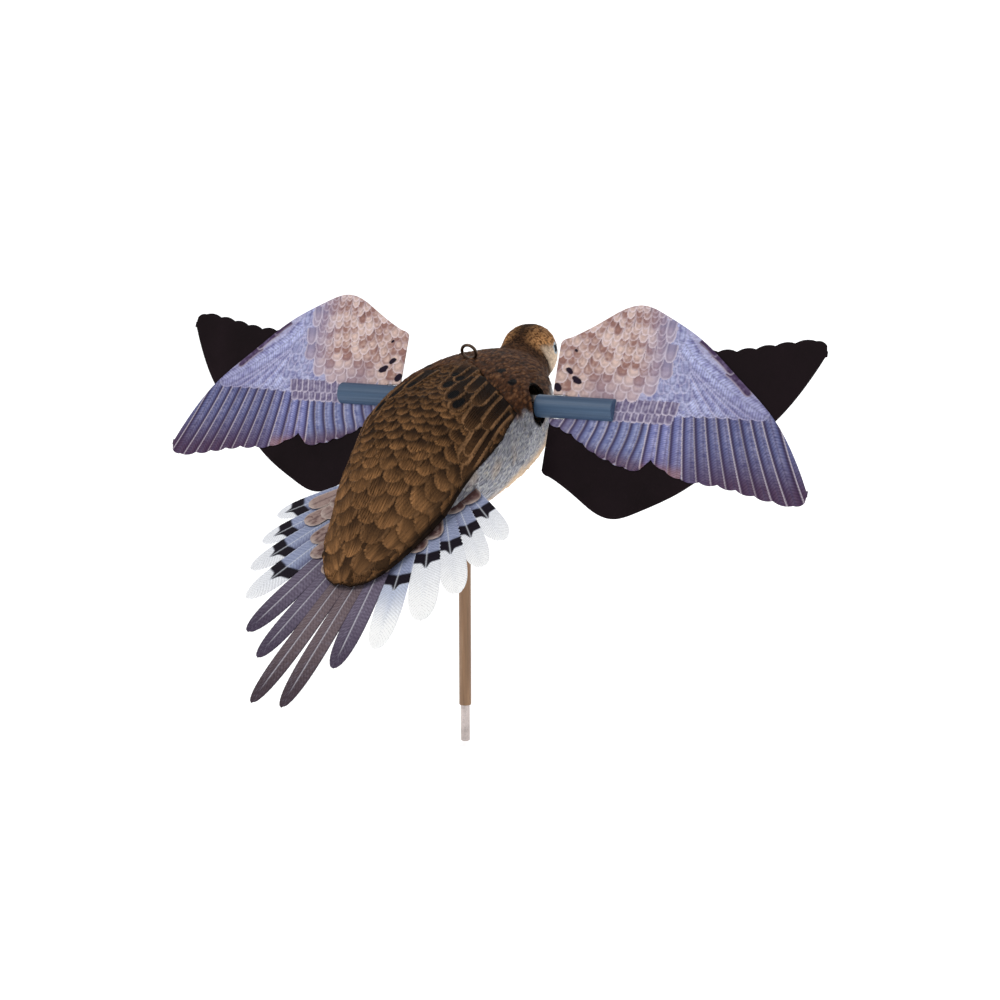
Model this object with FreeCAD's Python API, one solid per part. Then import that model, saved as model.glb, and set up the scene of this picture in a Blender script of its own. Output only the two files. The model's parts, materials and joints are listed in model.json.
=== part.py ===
import FreeCAD, Part

import functools
import math
import os

# Motion wing decoy: a hollow dove on a pole, with two spinning wings on one motor shaft.
# Millimetres. The origin is the shoulder of the pole's spigot, the pole rises along +Z,
# the dove faces -Y and its left side is +X.

# driving dimensions: pole
POLE_R = 4.0
POLE_BORE_R = 2.7
SPIGOT_R = 3.0
POLE_TOP = 165.0
SPIGOT_LENGTH = 25.0
SOCKET_GAP = 0.05

# driving dimensions: body
SHAFT_Y = -13.0
SHAFT_Z = 200.0
BODY_TILT = 25.0
WALL = 2.0
SPLIT_GAP = 0.3
FLANK_HOLE_R = 12.5
SQUARENESS = 2.2
RING_POINTS = 20

# Stations along the body: rearward place, half width, top, bottom, height of the widest point.
BODY_STATIONS = (
    (-102.6, 3.5, -8.5, -16, -12.2),
    (-100.5, 8.2, -4.0, -20.3, -12.2),
    (-96, 13.2, 1.4, -24.6, -12.2),
    (-90, 16.4, 4.5, -28, -12.3),
    (-84, 17.4, 5.2, -29.8, -12.6),
    (-78, 16.8, 3.8, -31.2, -13),
    (-71, 17.6, 1.2, -33.6, -14.5),
    (-64, 20, 1.0, -37, -16),
    (-56, 25, 5.0, -42.5, -17.5),
    (-48, 30, 10.2, -48, -16.5),
    (-40, 34.5, 14.2, -53, -15),
    (-15, 43.6, 24.6, -59, -7),
    (15, 47.6, 31.2, -55, 3),
    (50, 47.6, 34, -46, 6),
    (85, 42.5, 29, -34.5, 4),
    (105, 35.5, 22.6, -25, -1),
    (115, 29, 18.5, -18.5, -3.5),
    (121, 24, 16, -14, -5),
)
COVER_STATIONS = (
    (-15, 43.6, 24.6, -59, -7),
    (15, 47.6, 31.2, -55, 3),
    (50, 47.6, 34, -46, 6),
    (85, 42.5, 29, -30, 4),
    (115, 36.8, 20.6, -27, 0),
    (140, 30.2, 11.6, -22, -4),
    (160, 24.2, 3.6, -20, -6.5),
    (172, 18.6, -1.6, -18, -8),
    (180, 12.2, -5.6, -15.5, -9),
    (184.5, 4.5, -8.5, -12.5, -10),
)
STATION_STEP = 10.0
END_STEP = 3.0
END_ZONE = 15.0

# The cover's lower rim, from the front corner to the tail: rearward place, height.
RIM = [(-30, 12.6), (28.5, 12.2), (47, 10.8), (70, 7.2), (88, 5.2), (104, 1.0), (118, -4.8), (136, -7.6),
       (152, -9.2), (170, -11), (200, -13)]
# The cover's front edge seen from above: half of it, from the midline outward: sideways, rearward.
FRONT_EDGE = [(0, -2.5), (12, 6.5), (27, 21.5), (40, 29), (60, 33)]

# driving dimensions: head
HEAD_CENTRE_Y = -95.5
HEAD_CENTRE_Z = 225.0
BEAK_TIP_Y = -126.0
BEAK_TIP_Z = 206.0
EYE_R = 2.7
EYE_X = 14.6
EYE_Y = -97.0
EYE_Z = 227.6

# driving dimensions: tail fan
TAIL_Y = 62.0
TAIL_Z = 158.0
TAIL_TILT = 30.4
TAIL_ROOT = -30.0
TAIL_THICKNESS = 1.2
# Feathers of one side, from the middle outward: angle from the middle, length, width.
TAIL_FEATHERS = [(2.5, 225, 15.5), (7.5, 193, 17), (14, 178, 19), (22, 158, 21), (30, 141, 19.5),
                 (38, 124, 18), (47.5, 108, 18)]

# driving dimensions: motor and hubs
MOTOR_R = 13.8
MOTOR_HALF = 19.0
SHAFT_R = 1.5
RUNNING_GAP = 0.03
HUB_R = 6.8
HUB_START = 37.0
HUB_END = 46.5
HUB_GAP = 0.1
HEX_FLATS = 8.0
HEX_END = 57.5

# driving dimensions: wings
WING_TILT = 20.5
TUBE_R = 7.3
TUBE_END = 100.0
SLOT_START = 66.0
BLADE = 1.0
MAGNET_R = 4.0

# driving dimensions: batteries
CELL_R = 7.1
CELL_LENGTH = 50.0
CELL_PITCH = 15.0
CELL_FIRST_Y = 43.0
CELL_Z = 7.3

# driving dimensions: fittings
SCREW_R = 1.4
HEAD_SCREW_R = 3.1
SOCKET_R = 7.0
PLATE_TOP = 172.0
CRADLE_HALF_Y = 21.0
FOOT_SCREW_X = 11.0
FOOT_SCREW_Z = 141.0
STRAP_SCREW_Y = 18.0
BUSH_R = 3.0
BUSH_LENGTH = 4.0
COMMUTATOR_R = 3.2
COMMUTATOR_X = (9.5, 14.5)
SWITCH_Y = 74.0
RING_Y = -8.1
MAGNET_X = 36.0
MAGNET_Y = 40.0
WALL_END_Y = 95.0
TAIL_SCREW_PLACES = [(-14, 72), (14, 72)]

SIDES = {"left": 1, "right": -1}

X_AXIS = FreeCAD.Vector(1, 0, 0)
Y_AXIS = FreeCAD.Vector(0, 1, 0)
Z_AXIS = FreeCAD.Vector(0, 0, 1)

SHAFT_CENTRE = FreeCAD.Vector(0, SHAFT_Y, SHAFT_Z)
BODY_FRAME = FreeCAD.Placement(SHAFT_CENTRE, FreeCAD.Rotation(X_AXIS, -BODY_TILT))
WING_FRAME = FreeCAD.Placement(SHAFT_CENTRE, FreeCAD.Rotation(X_AXIS, WING_TILT))
TAIL_FRAME = FreeCAD.Placement(FreeCAD.Vector(0, TAIL_Y, TAIL_Z), FreeCAD.Rotation(X_AXIS, -TAIL_TILT))


def vec(x, y, z):
    return FreeCAD.Vector(x, y, z)


def placed(shape, frame):
    """The shape moved from a local frame into the part's frame."""
    moved = shape.copy()
    moved.Placement = frame.multiply(moved.Placement)
    return moved


def box(x, y, z):
    """A box from three (low, high) pairs."""
    return Part.makeBox(x[1] - x[0], y[1] - y[0], z[1] - z[0], vec(x[0], y[0], z[0]))


def rod_x(radius, low, high, y=SHAFT_Y, z=SHAFT_Z):
    return Part.makeCylinder(radius, high - low, vec(low, y, z), X_AXIS)


def rod_z(radius, low, high, x=0.0, y=0.0):
    return Part.makeCylinder(radius, high - low, vec(x, y, low), Z_AXIS)


def hermite(stations, place):
    """Smooth values between stations, with no overshoot past them."""
    index = 0
    while index < len(stations) - 2 and place > stations[index + 1][0]:
        index += 1
    start, end = stations[index], stations[index + 1]
    span = end[0] - start[0]
    share = (place - start[0]) / span

    def rise(at, column):
        here, following = stations[at], stations[at + 1]
        return (following[column] - here[column]) / (following[0] - here[0])

    def slope(at, column):
        if at == 0:
            return rise(0, column)
        if at == len(stations) - 1:
            return rise(at - 1, column)
        before, after = rise(at - 1, column), rise(at, column)
        if before * after <= 0:
            return 0.0
        return 2 * before * after / (before + after)

    values = []
    for column in range(1, 5):
        low, high = start[column], end[column]
        low_slope = slope(index, column) * span
        high_slope = slope(index + 1, column) * span
        square, cube = share**2, share**3
        values.append(low * (2 * cube - 3 * square + 1) + low_slope * (cube - 2 * square + share)
                      + high * (3 * square - 2 * cube) + high_slope * (cube - square))
    return values


def oval(place, half_width, top, bottom, middle):
    """One closed section across the body, a rounded oval that is deeper below than above."""
    points = []
    power = 2.0 / SQUARENESS
    for step in range(RING_POINTS):
        angle = 2 * math.pi * step / RING_POINTS
        across = math.copysign(abs(math.cos(angle)) ** power, math.cos(angle))
        up = math.copysign(abs(math.sin(angle)) ** power, math.sin(angle))
        height = middle + up * (top - middle if up > 0 else middle - bottom)
        points.append(vec(half_width * across, place, height))
    curve = Part.BSplineCurve()
    curve.interpolate(points, PeriodicFlag=True)
    return Part.Wire(curve.toShape())


def section_places(first, last):
    """Places of the sections: close together near both ends, where the outline turns in."""
    places = [first]
    while last - places[-1] > END_STEP * 1.5:
        near_end = min(places[-1] - first, last - places[-1]) < END_ZONE
        places.append(places[-1] + (END_STEP if near_end else STATION_STEP))
    return places + [last]


@functools.lru_cache(maxsize=None)
def envelope(stations, inset):
    """The solid inside the stations, made smaller all round by the inset."""
    first, last = stations[0][0] + 2 * inset, stations[-1][0] - 2 * inset
    wires = []
    for place in section_places(first, last):
        half_width, top, bottom, middle = hermite(stations, place)
        half_width = max(half_width - inset, 0.6)
        top = max(top - inset, middle + 0.5)
        bottom = min(bottom + inset, middle - 0.5)
        wires.append(oval(place, half_width, top, bottom, middle))
    return placed(Part.makeLoft(wires, True, False), BODY_FRAME)


def cover_zone(gap):
    """The space that belongs to the back cover, above its rim and behind its front edge."""
    rim = Part.BSplineCurve()
    rim.interpolate([vec(0, y, z - gap) for y, z in RIM])
    front, rear = RIM[0], RIM[-1]
    corners = [vec(0, rear[0], rear[1] - gap), vec(0, rear[0], 80), vec(0, front[0], 80),
               vec(0, front[0], front[1] - gap)]
    side = Part.Face(Part.Wire([rim.toShape()] + Part.makePolygon(corners).Edges))
    side.translate(vec(-70, 0, 0))
    above = side.extrude(vec(140, 0, 0))
    edge = Part.BSplineCurve()
    half = [vec(x, y - gap, -90) for x, y in FRONT_EDGE]
    edge.interpolate([vec(-point.x, point.y, point.z) for point in reversed(half[1:])] + half)
    corners = [half[-1], vec(60, 210, -90), vec(-60, 210, -90), vec(-60, half[-1].y, -90)]
    plan = Part.Face(Part.Wire([edge.toShape()] + Part.makePolygon(corners).Edges))
    behind = plan.extrude(vec(0, 0, 190))
    return placed(above.common(behind), BODY_FRAME)


def wing_blade():
    """One wing sheet in the wing's own frame: outward along X, upward along Z."""
    leading = Part.BSplineCurve()
    leading.interpolate([vec(*point) for point in (
        (61, 0, 45), (72.5, 0, 50.8), (86, 0, 59.2), (98.5, 0, 66.4), (108, 0, 68.4), (125, 0, 62.7),
        (151, 0, 47.8), (177.5, 0, 25.3), (203.7, 0, 0.9), (222, 0, -26), (229.6, 0, -41))])
    edges = [
        Part.makeLine(vec(56, 0, TUBE_R + 0.4), vec(55.6, 0, 38)),
        Part.Arc(vec(55.6, 0, 38), vec(56.6, 0, 42.6), vec(61, 0, 45)).toShape(),
        leading.toShape(),
        Part.Arc(vec(229.6, 0, -41), vec(229.2, 0, -48.8), vec(223, 0, -50.5)).toShape(),
    ]
    outer = [(223, -50.5), (210, -48.6), (198, -46.4), (186, -43.8), (174, -41.6), (162, -41), (150, -39.8),
             (139, -35.4), (129, -29.4)]
    inner = [(122, -36.4), (111, -35), (101, -31.6), (91, -27.8), (82, -22.4), (73, -16.6), (64, -12.8),
             (56, -10)]
    for tips in (outer, inner):
        for start, end in zip(tips, tips[1:]):
            middle = vec((start[0] + end[0]) / 2 + 0.4, 0, (start[1] + end[1]) / 2 - 1.6)
            edges.append(Part.Arc(vec(start[0], 0, start[1]), middle, vec(end[0], 0, end[1])).toShape())
        if tips is outer:
            last, following = outer[-1], inner[0]
            edges.append(Part.makeLine(vec(last[0], 0, last[1]), vec(following[0], 0, following[1])))
    notch = [vec(56, 0, -10), vec(56, 0, -TUBE_R - 0.4), vec(SLOT_START, 0, -TUBE_R - 0.4),
             vec(SLOT_START, 0, TUBE_R + 0.4), vec(56, 0, TUBE_R + 0.4)]
    edges += Part.makePolygon(notch).Edges
    return Part.Face(Part.Wire(Part.__sortEdges__(edges))).extrude(vec(0, BLADE, 0))


def mirrored(shape, side):
    return shape if side > 0 else shape.mirror(vec(0, 0, 0), X_AXIS)


def tail_fan():
    """The flat feathered fan, one sheet."""
    half = TAIL_THICKNESS / 2
    fan = Part.makeCylinder(16, TAIL_THICKNESS, vec(0, TAIL_ROOT + 10, -half))
    for angle, length, width in TAIL_FEATHERS:
        for side in SIDES.values():
            straight = length - width / 2
            outline = Part.makePolygon([vec(-3, 0, 0), vec(3, 0, 0), vec(width / 2, straight, 0),
                                        vec(-width / 2, straight, 0), vec(-3, 0, 0)])
            blade = Part.Face(outline).extrude(vec(0, 0, TAIL_THICKNESS))
            blade = blade.fuse(Part.makeCylinder(width / 2, TAIL_THICKNESS, vec(0, straight, 0)))
            blade.rotate(vec(0, 0, 0), Z_AXIS, -angle * side)
            blade.translate(vec(0, TAIL_ROOT, -half))
            fan = fan.fuse(blade)
    return placed(fan.removeSplitter(), TAIL_FRAME).cut(tail_screw_holes())


def tail_slab(low, high, rear_of=-200.0):
    """The space between two heights over the tail plane, behind a place on it."""
    return placed(box((-80, 80), (rear_of, 220), (low, high)), TAIL_FRAME)


def rounded_route(points, radius):
    """A path of straight runs joined by tangent arcs as large as the runs allow."""
    points = [vec(*point) for point in points]
    edges = []
    last = points[0]
    for before, corner, after in zip(points, points[1:], points[2:]):
        inward = (before - corner).normalize()
        outward = (after - corner).normalize()
        turn = math.pi - inward.getAngle(outward)
        run = min((corner - before).Length, (after - corner).Length)
        cut = 0.45 * run
        bend = cut / math.tan(turn / 2)
        print(f"lead bend radius {bend:.1f}, {bend / radius:.1f} radii")
        start = corner + inward * cut
        end = corner + outward * cut
        half_way = (inward + outward).normalize()
        centre = corner + half_way * math.hypot(bend, cut)
        middle = centre - half_way * bend
        edges.append(Part.makeLine(last, start))
        edges.append(Part.Arc(start, middle, end).toShape())
        last = end
    edges.append(Part.makeLine(last, points[-1]))
    return Part.Wire(edges)


def lead(points, radius=0.8):
    """An insulated wire along a route given in the body's frame."""
    path = rounded_route(points, radius)
    start = path.Edges[0]
    first = start.FirstParameter
    section = Part.Wire(Part.makeCircle(radius, start.valueAt(first), start.tangentAt(first)))
    tube = path.makePipeShell([section], True, False)
    print(f"lead volume ratio {tube.Volume / (math.pi * radius**2 * path.Length):.4f}")
    return placed(tube, BODY_FRAME)


def screw(radius, length, head_r, head_height):
    """A pan-head screw: shank down -Z from the origin, head above it."""
    shank = Part.makeCylinder(radius, length, vec(0, 0, -length))
    head = Part.makeCylinder(head_r, head_height)
    rim = [edge for edge in head.Edges if edge.BoundBox.ZMin > head_height / 2]
    head = head.makeFillet(head_height * 0.4, rim)
    slot = box((-0.35, 0.35), (-head_r * 0.6, head_r * 0.6), (head_height * 0.45, head_height + 1))
    cross = slot.copy()
    cross.rotate(vec(0, 0, 0), Z_AXIS, 90)
    return head.fuse(shank).cut(slot).cut(cross)


def moved(shape, x, y, z):
    copy = shape.copy()
    copy.translate(vec(x, y, z))
    return copy


def group(shapes):
    """Identical fasteners that share one node stay separate solids."""
    return Part.makeCompound(shapes)


def eye_socket(radius, low, high, side):
    """A round bar across the side of the head, where the eye sits."""
    return mirrored(rod_x(radius, low, high, EYE_Y, EYE_Z), side)


def beak():
    centre = vec(0, HEAD_CENTRE_Y, HEAD_CENTRE_Z)
    tip = vec(0, BEAK_TIP_Y, BEAK_TIP_Z)
    along = tip - centre
    length = along.Length
    along.normalize()
    base = centre + along * 14.5
    cone = Part.makeCone(3.4, 0.9, length - 14.5 - 0.9, base, along)
    return cone.fuse(Part.makeSphere(0.9, tip - along * 0.9))


# ---- pole ----

def upper_pole():
    return rod_z(POLE_R, 0, POLE_TOP).cut(rod_z(POLE_BORE_R, -1, POLE_TOP + 1))


def pole_spigot():
    """A steel pin set in the tube's bore, a little stouter where it goes into the pole below."""
    pin = rod_z(SPIGOT_R, -SPIGOT_LENGTH, 0).fuse(rod_z(POLE_BORE_R, 0, SPIGOT_LENGTH))
    lower = [edge for edge in pin.Edges if edge.BoundBox.ZMax < -SPIGOT_LENGTH + 0.1]
    return pin.makeChamfer(0.6, lower)


# ---- body shells ----

def back_cover():
    """The feathered back, with a magnet lug inside each front corner."""
    cover = envelope(COVER_STATIONS, 0).common(cover_zone(0)).cut(envelope(COVER_STATIONS, WALL))
    inside = envelope(COVER_STATIONS, WALL / 2)
    for side in SIDES.values():
        lug = placed(box(sorted((side * 31, side * 46)), (35, 45), (13, 17)), BODY_FRAME).common(inside)
        cover = cover.fuse(lug)
        cover = cover.cut(placed(Part.makeCylinder(3, 4.5, vec(side * MAGNET_X, MAGNET_Y, 10)), BODY_FRAME))
    return cover


def belly_shell():
    """Head, breast and belly in one moulding, with the tail shelf and the cover's magnet lugs."""
    fan_low = -TAIL_THICKNESS / 2
    inner = envelope(BODY_STATIONS, WALL)
    shell = envelope(BODY_STATIONS, 0).cut(cover_zone(SPLIT_GAP))
    above_fan = box((-80, 80), (WALL_END_Y, 200), (-9.5, 60))
    shell = shell.cut(placed(above_fan, BODY_FRAME).common(tail_slab(fan_low, 90)))
    shell = shell.cut(rod_x(FLANK_HOLE_R, -60, 60))
    shell = shell.cut(rod_z(SOCKET_R, 100, 160))
    shell = shell.cut(placed(box((-5.5, 5.5), (SWITCH_Y - 2.3, SWITCH_Y + 2.3), (-60, -20)), BODY_FRAME))
    shell = shell.cut(placed(Part.makeCylinder(1.3, 30, vec(0, RING_Y, 10)), BODY_FRAME))
    for side in SIDES.values():
        shell = shell.cut(eye_socket(EYE_R, EYE_X - 2, EYE_X + 10, side))
        shell = shell.cut(rod_z(HEAD_SCREW_R, 120, FOOT_SCREW_Z, side * FOOT_SCREW_X))
        shell = shell.cut(rod_z(SCREW_R, 120, 160, side * FOOT_SCREW_X))
    shell = shell.cut(inner)
    shelf = inner.common(tail_slab(fan_low - WALL, fan_low, TAIL_ROOT - 8))
    window = placed(box((-18, 18), (TAIL_ROOT + 4, 22), (-10, 10)), TAIL_FRAME)
    shell = shell.fuse(shelf.cut(window).cut(tail_screw_holes()))
    inside = envelope(BODY_STATIONS, WALL / 2)
    for side in SIDES.values():
        lug = placed(box(sorted((side * 31, side * 46)), (35, 45), (4, 9.5)), BODY_FRAME).common(inside)
        shell = shell.fuse(lug)
        shell = shell.cut(placed(Part.makeCylinder(3, 3, vec(side * MAGNET_X, MAGNET_Y, 8.2)), BODY_FRAME))
    shell = shell.cut(tail_slab(fan_low, -fan_low, TAIL_ROOT - 8))
    return shell.fuse(beak().cut(envelope(BODY_STATIONS, 0)))


# ---- pole socket, cradle and motor ----



def pole_socket():
    """A blind socket for the pole, with a foot shaped to the belly and a plate for the motor."""
    inner = envelope(BODY_STATIONS, WALL)
    outer = envelope(BODY_STATIONS, 0)
    tube = rod_z(SOCKET_R, 120, PLATE_TOP).common(outer)
    foot = rod_z(16, 120, 150).common(inner)
    plate = box((-15, 15), (SHAFT_Y - CRADLE_HALF_Y, SHAFT_Y + CRADLE_HALF_Y), (PLATE_TOP - 5, PLATE_TOP))
    socket = tube.fuse(foot).fuse(plate)
    socket = socket.cut(rod_z(POLE_R + SOCKET_GAP, 100, POLE_TOP + SPLIT_GAP))
    for side in SIDES.values():
        socket = socket.cut(rod_z(SCREW_R, FOOT_SCREW_Z - 5, FOOT_SCREW_Z + 8, side * FOOT_SCREW_X))
    for y in (-STRAP_SCREW_Y, STRAP_SCREW_Y):
        socket = socket.cut(rod_z(SCREW_R, PLATE_TOP - 4, PLATE_TOP + 5, 0, SHAFT_Y + y))
    return socket


def motor_cradle():
    cradle = box((-13, 13), (SHAFT_Y - CRADLE_HALF_Y, SHAFT_Y + CRADLE_HALF_Y), (PLATE_TOP, SHAFT_Z - 3))
    cradle = cradle.cut(rod_x(MOTOR_R, -40, 40))
    for y in (-STRAP_SCREW_Y, STRAP_SCREW_Y):
        cradle = cradle.cut(rod_z(SCREW_R, PLATE_TOP - 5, SHAFT_Z, 0, SHAFT_Y + y))
    return cradle


def motor_strap():
    band = rod_x(MOTOR_R + 1.2, -6, 6).cut(rod_x(MOTOR_R, -7, 7))
    band = band.common(box((-10, 10), (SHAFT_Y - 30, SHAFT_Y + 30), (SHAFT_Z - 3, SHAFT_Z + 30)))
    tabs = box((-6, 6), (SHAFT_Y - CRADLE_HALF_Y, SHAFT_Y + CRADLE_HALF_Y), (SHAFT_Z - 3, SHAFT_Z - 1.8))
    strap = band.fuse(tabs.cut(rod_x(MOTOR_R, -7, 7)))
    for y in (-STRAP_SCREW_Y, STRAP_SCREW_Y):
        strap = strap.cut(rod_z(SCREW_R, SHAFT_Z - 10, SHAFT_Z, 0, SHAFT_Y + y))
    return strap


def strap_screws():
    one = screw(SCREW_R, SHAFT_Z - 1.8 - PLATE_TOP + 4, 2.6, 1.8)
    return group([moved(one, 0, SHAFT_Y + y, SHAFT_Z - 1.8) for y in (-STRAP_SCREW_Y, STRAP_SCREW_Y)])


def socket_screws():
    """Two screws from below, through the belly into the socket's foot."""
    one = screw(SCREW_R, 8, HEAD_SCREW_R - 0.2, 1.4)
    one.rotate(vec(0, 0, 0), X_AXIS, 180)
    return group([moved(one, side * FOOT_SCREW_X, 0, FOOT_SCREW_Z) for side in SIDES.values()])


def motor_can():
    can = rod_x(MOTOR_R, -MOTOR_HALF, MOTOR_HALF - 3)
    can = can.cut(rod_x(MOTOR_R - 1.2, -MOTOR_HALF + 1.2, MOTOR_HALF))
    return can.cut(rod_x(BUSH_R, -MOTOR_HALF - 1, 0))




def motor_end_bell():
    bell = rod_x(MOTOR_R, MOTOR_HALF - 3, MOTOR_HALF)
    bell = bell.fuse(rod_x(MOTOR_R - 1.2, MOTOR_HALF - 5, MOTOR_HALF - 3))
    bell = bell.cut(rod_x(7, MOTOR_HALF - 6, MOTOR_HALF - 3))
    return bell.cut(rod_x(BUSH_R, 0, MOTOR_HALF + 1))


def motor_magnet(side):
    ring = rod_x(MOTOR_R - 1.2, -14, 12).cut(rod_x(10.6, -15, 13))
    keep = box((-20, 20), (SHAFT_Y - 9, SHAFT_Y + 9), sorted((SHAFT_Z, SHAFT_Z + side * 20)))
    return ring.common(keep)


def brush(side):
    base = SHAFT_Z + side * (COMMUTATOR_R + SPLIT_GAP)
    tip = SHAFT_Z + side * 6.5
    return box((10, 13.8), (SHAFT_Y - 1.5, SHAFT_Y + 1.5), sorted((base, tip)))


def bush(side):
    ends = sorted((side * (MOTOR_HALF - 1.2), side * (MOTOR_HALF - 1.2 + BUSH_LENGTH)))
    return rod_x(BUSH_R, *ends).cut(rod_x(SHAFT_R + RUNNING_GAP, -40, 40))


def motor_shaft():
    return rod_x(SHAFT_R, -50, 50)


def armature_core():
    """Three T-shaped poles on the shaft."""
    core = rod_x(4, -9, 7)
    for turn in range(3):
        pole = box((-9, 7), (SHAFT_Y - 1.8, SHAFT_Y + 1.8), (SHAFT_Z, SHAFT_Z + 9))
        shoe = rod_x(9.8, -9, 7).cut(rod_x(8, -10, 8))
        shoe = shoe.common(box((-10, 8), (SHAFT_Y - 7, SHAFT_Y + 7), (SHAFT_Z + 4, SHAFT_Z + 12)))
        pole = pole.fuse(shoe)
        pole.rotate(SHAFT_CENTRE, X_AXIS, 120 * turn)
        core = core.fuse(pole)
    return core.cut(rod_x(SHAFT_R, -20, 20))


def armature_windings():
    coils = []
    for turn in range(3):
        coil = box((-11, 9), (SHAFT_Y - 3.4, SHAFT_Y + 3.4), (SHAFT_Z + 4.4, SHAFT_Z + 7.0))
        coil = coil.cut(box((-9, 7), (SHAFT_Y - 1.8, SHAFT_Y + 1.8), (SHAFT_Z, SHAFT_Z + 12)))
        coil = coil.cut(rod_x(4, -20, 20))
        coil.rotate(SHAFT_CENTRE, X_AXIS, 120 * turn)
        coils.append(coil)
    return group(coils)


def commutator():
    return rod_x(COMMUTATOR_R, *COMMUTATOR_X).cut(rod_x(SHAFT_R, 0, 20))


# ---- hubs and wings ----

def hex_bar(flats, low, high):
    radius = flats / math.sqrt(3)
    corners = [vec(low, radius * math.cos(math.radians(60 * k)), radius * math.sin(math.radians(60 * k)))
               for k in range(7)]
    return placed(Part.Face(Part.makePolygon(corners)).extrude(vec(high - low, 0, 0)), WING_FRAME)


def hub(side):
    body = rod_x(HUB_R, HUB_START, HUB_END).fuse(hex_bar(HEX_FLATS, HUB_END, HEX_END))
    body = body.cut(rod_x(SHAFT_R, HUB_START - 1, 50))
    body = body.cut(rod_z(1.25, SHAFT_Z + 1, SHAFT_Z + 8, 40.5, SHAFT_Y))
    return mirrored(body, side)


def hub_grub_screws():
    screws = []
    for side in SIDES.values():
        one = rod_z(1.25, SHAFT_Z + SHAFT_R, SHAFT_Z + 6.2, side * 40.5, SHAFT_Y)
        recess = rod_z(0.6, SHAFT_Z + 4.6, SHAFT_Z + 8, side * 40.5, SHAFT_Y)
        screws.append(one.cut(recess))
    return group(screws)


def wing_tube(side):
    """The wing's root: a hex socket and a magnet inside, and a slot for the two blades."""
    start = HUB_END + HUB_GAP
    tube = placed(Part.makeCylinder(TUBE_R, TUBE_END - start, vec(start, 0, 0), X_AXIS), WING_FRAME)
    rims = [edge for edge in tube.Edges if edge.Curve.TypeId == "Part::GeomCircle"]
    tube = tube.makeFillet(0.5, rims)
    tube = tube.cut(hex_bar(HEX_FLATS + 0.16, HUB_END - 1, HEX_END + 0.3))
    tube = tube.cut(rod_x(MAGNET_R, HEX_END, 62))
    tube = tube.cut(placed(box((SLOT_START, 110), (-BLADE, BLADE), (-10, 10)), WING_FRAME))
    return mirrored(tube, side)


def wing_magnet(side):
    return mirrored(rod_x(MAGNET_R, HEX_END + 0.6, 62), side)


def printed_blade(side):
    return mirrored(placed(wing_blade(), WING_FRAME), side)


def counter_blade(side):
    blade = wing_blade()
    blade.rotate(vec(0, 0, 0), X_AXIS, 180)
    return mirrored(placed(blade, WING_FRAME), side)


# ---- power ----

def tray_low(y):
    """Height of the fan's upper face under the battery tray, in the body's frame."""
    tail = BODY_FRAME.inverse().multVec(TAIL_FRAME.multVec(vec(0, 0, TAIL_THICKNESS / 2)))
    slope = math.tan(math.radians(TAIL_TILT - BODY_TILT))
    return tail.z - (y - tail.y) * slope


def battery_holder():
    """A tray for four cells side by side, standing on the tail fan's root."""
    low_y = CELL_FIRST_Y - CELL_PITCH / 2 - 1.5
    high_y = CELL_FIRST_Y + 3.5 * CELL_PITCH + 1.5
    floor = CELL_Z - CELL_R - 1.5
    half = CELL_LENGTH / 2 + 3.0
    tray = box((-half, half), (low_y, high_y), (floor, CELL_Z + 2))
    tray = tray.cut(box((-half + 1.5, half - 1.5), (low_y + 1.5, high_y - 1.5), (floor + 1.5, 30)))
    for index in range(1, 4):
        y = CELL_FIRST_Y + (index - 0.5) * CELL_PITCH
        tray = tray.fuse(box((-half + 4, half - 4), (y - 0.35, y + 0.35), (floor + 1, CELL_Z - 1.5)))
    for x in (-14, 14):
        foot = box((x - 4, x + 4), (60, 82), (-30, floor + 0.5))
        tray = tray.fuse(foot)
    tray = placed(tray, BODY_FRAME)
    tray = tray.cut(tail_slab(-60, TAIL_THICKNESS / 2))
    return tray.cut(tail_screw_holes())




def tail_screw_holes():
    holes = [placed(Part.makeCylinder(1.2, 14, vec(x, y, -9)), BODY_FRAME) for x, y in TAIL_SCREW_PLACES]
    return Part.makeCompound(holes)


def battery_cell(index):
    y = CELL_FIRST_Y + index * CELL_PITCH
    side = 1 if index % 2 else -1
    can = Part.makeCylinder(CELL_R, CELL_LENGTH - 1.2, vec(-CELL_LENGTH / 2, y, CELL_Z), X_AXIS)
    rims = [edge for edge in can.Edges if edge.Curve.TypeId == "Part::GeomCircle"]
    can = can.makeFillet(0.6, rims)
    can = can.fuse(Part.makeCylinder(2.6, 1.2, vec(CELL_LENGTH / 2 - 1.2, y, CELL_Z), X_AXIS))
    return placed(mirrored(can, side), BODY_FRAME)


def contact_strip(side):
    low_y = CELL_FIRST_Y - CELL_PITCH / 2 + 0.5
    high_y = CELL_FIRST_Y + 3.5 * CELL_PITCH - 0.5
    half = CELL_LENGTH / 2
    strip = box((half + 1, half + 1.5), (low_y, high_y), (CELL_Z - 4, CELL_Z + 5))
    for index in range(4):
        y = CELL_FIRST_Y + index * CELL_PITCH
        strip = strip.fuse(Part.makeCone(3.2, 1.8, 1.0, vec(half + 1, y, CELL_Z), -X_AXIS))
    return placed(mirrored(strip, side), BODY_FRAME)


def switch_housing():
    inner = envelope(BODY_STATIONS, WALL)
    block = placed(box((-9, 9), (SWITCH_Y - 4.5, SWITCH_Y + 4.5), (-60, -29)), BODY_FRAME).common(inner)
    return block.cut(placed(box((-6, 6), (SWITCH_Y - 2.6, SWITCH_Y + 2.6), (-60, -32)), BODY_FRAME))


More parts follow.
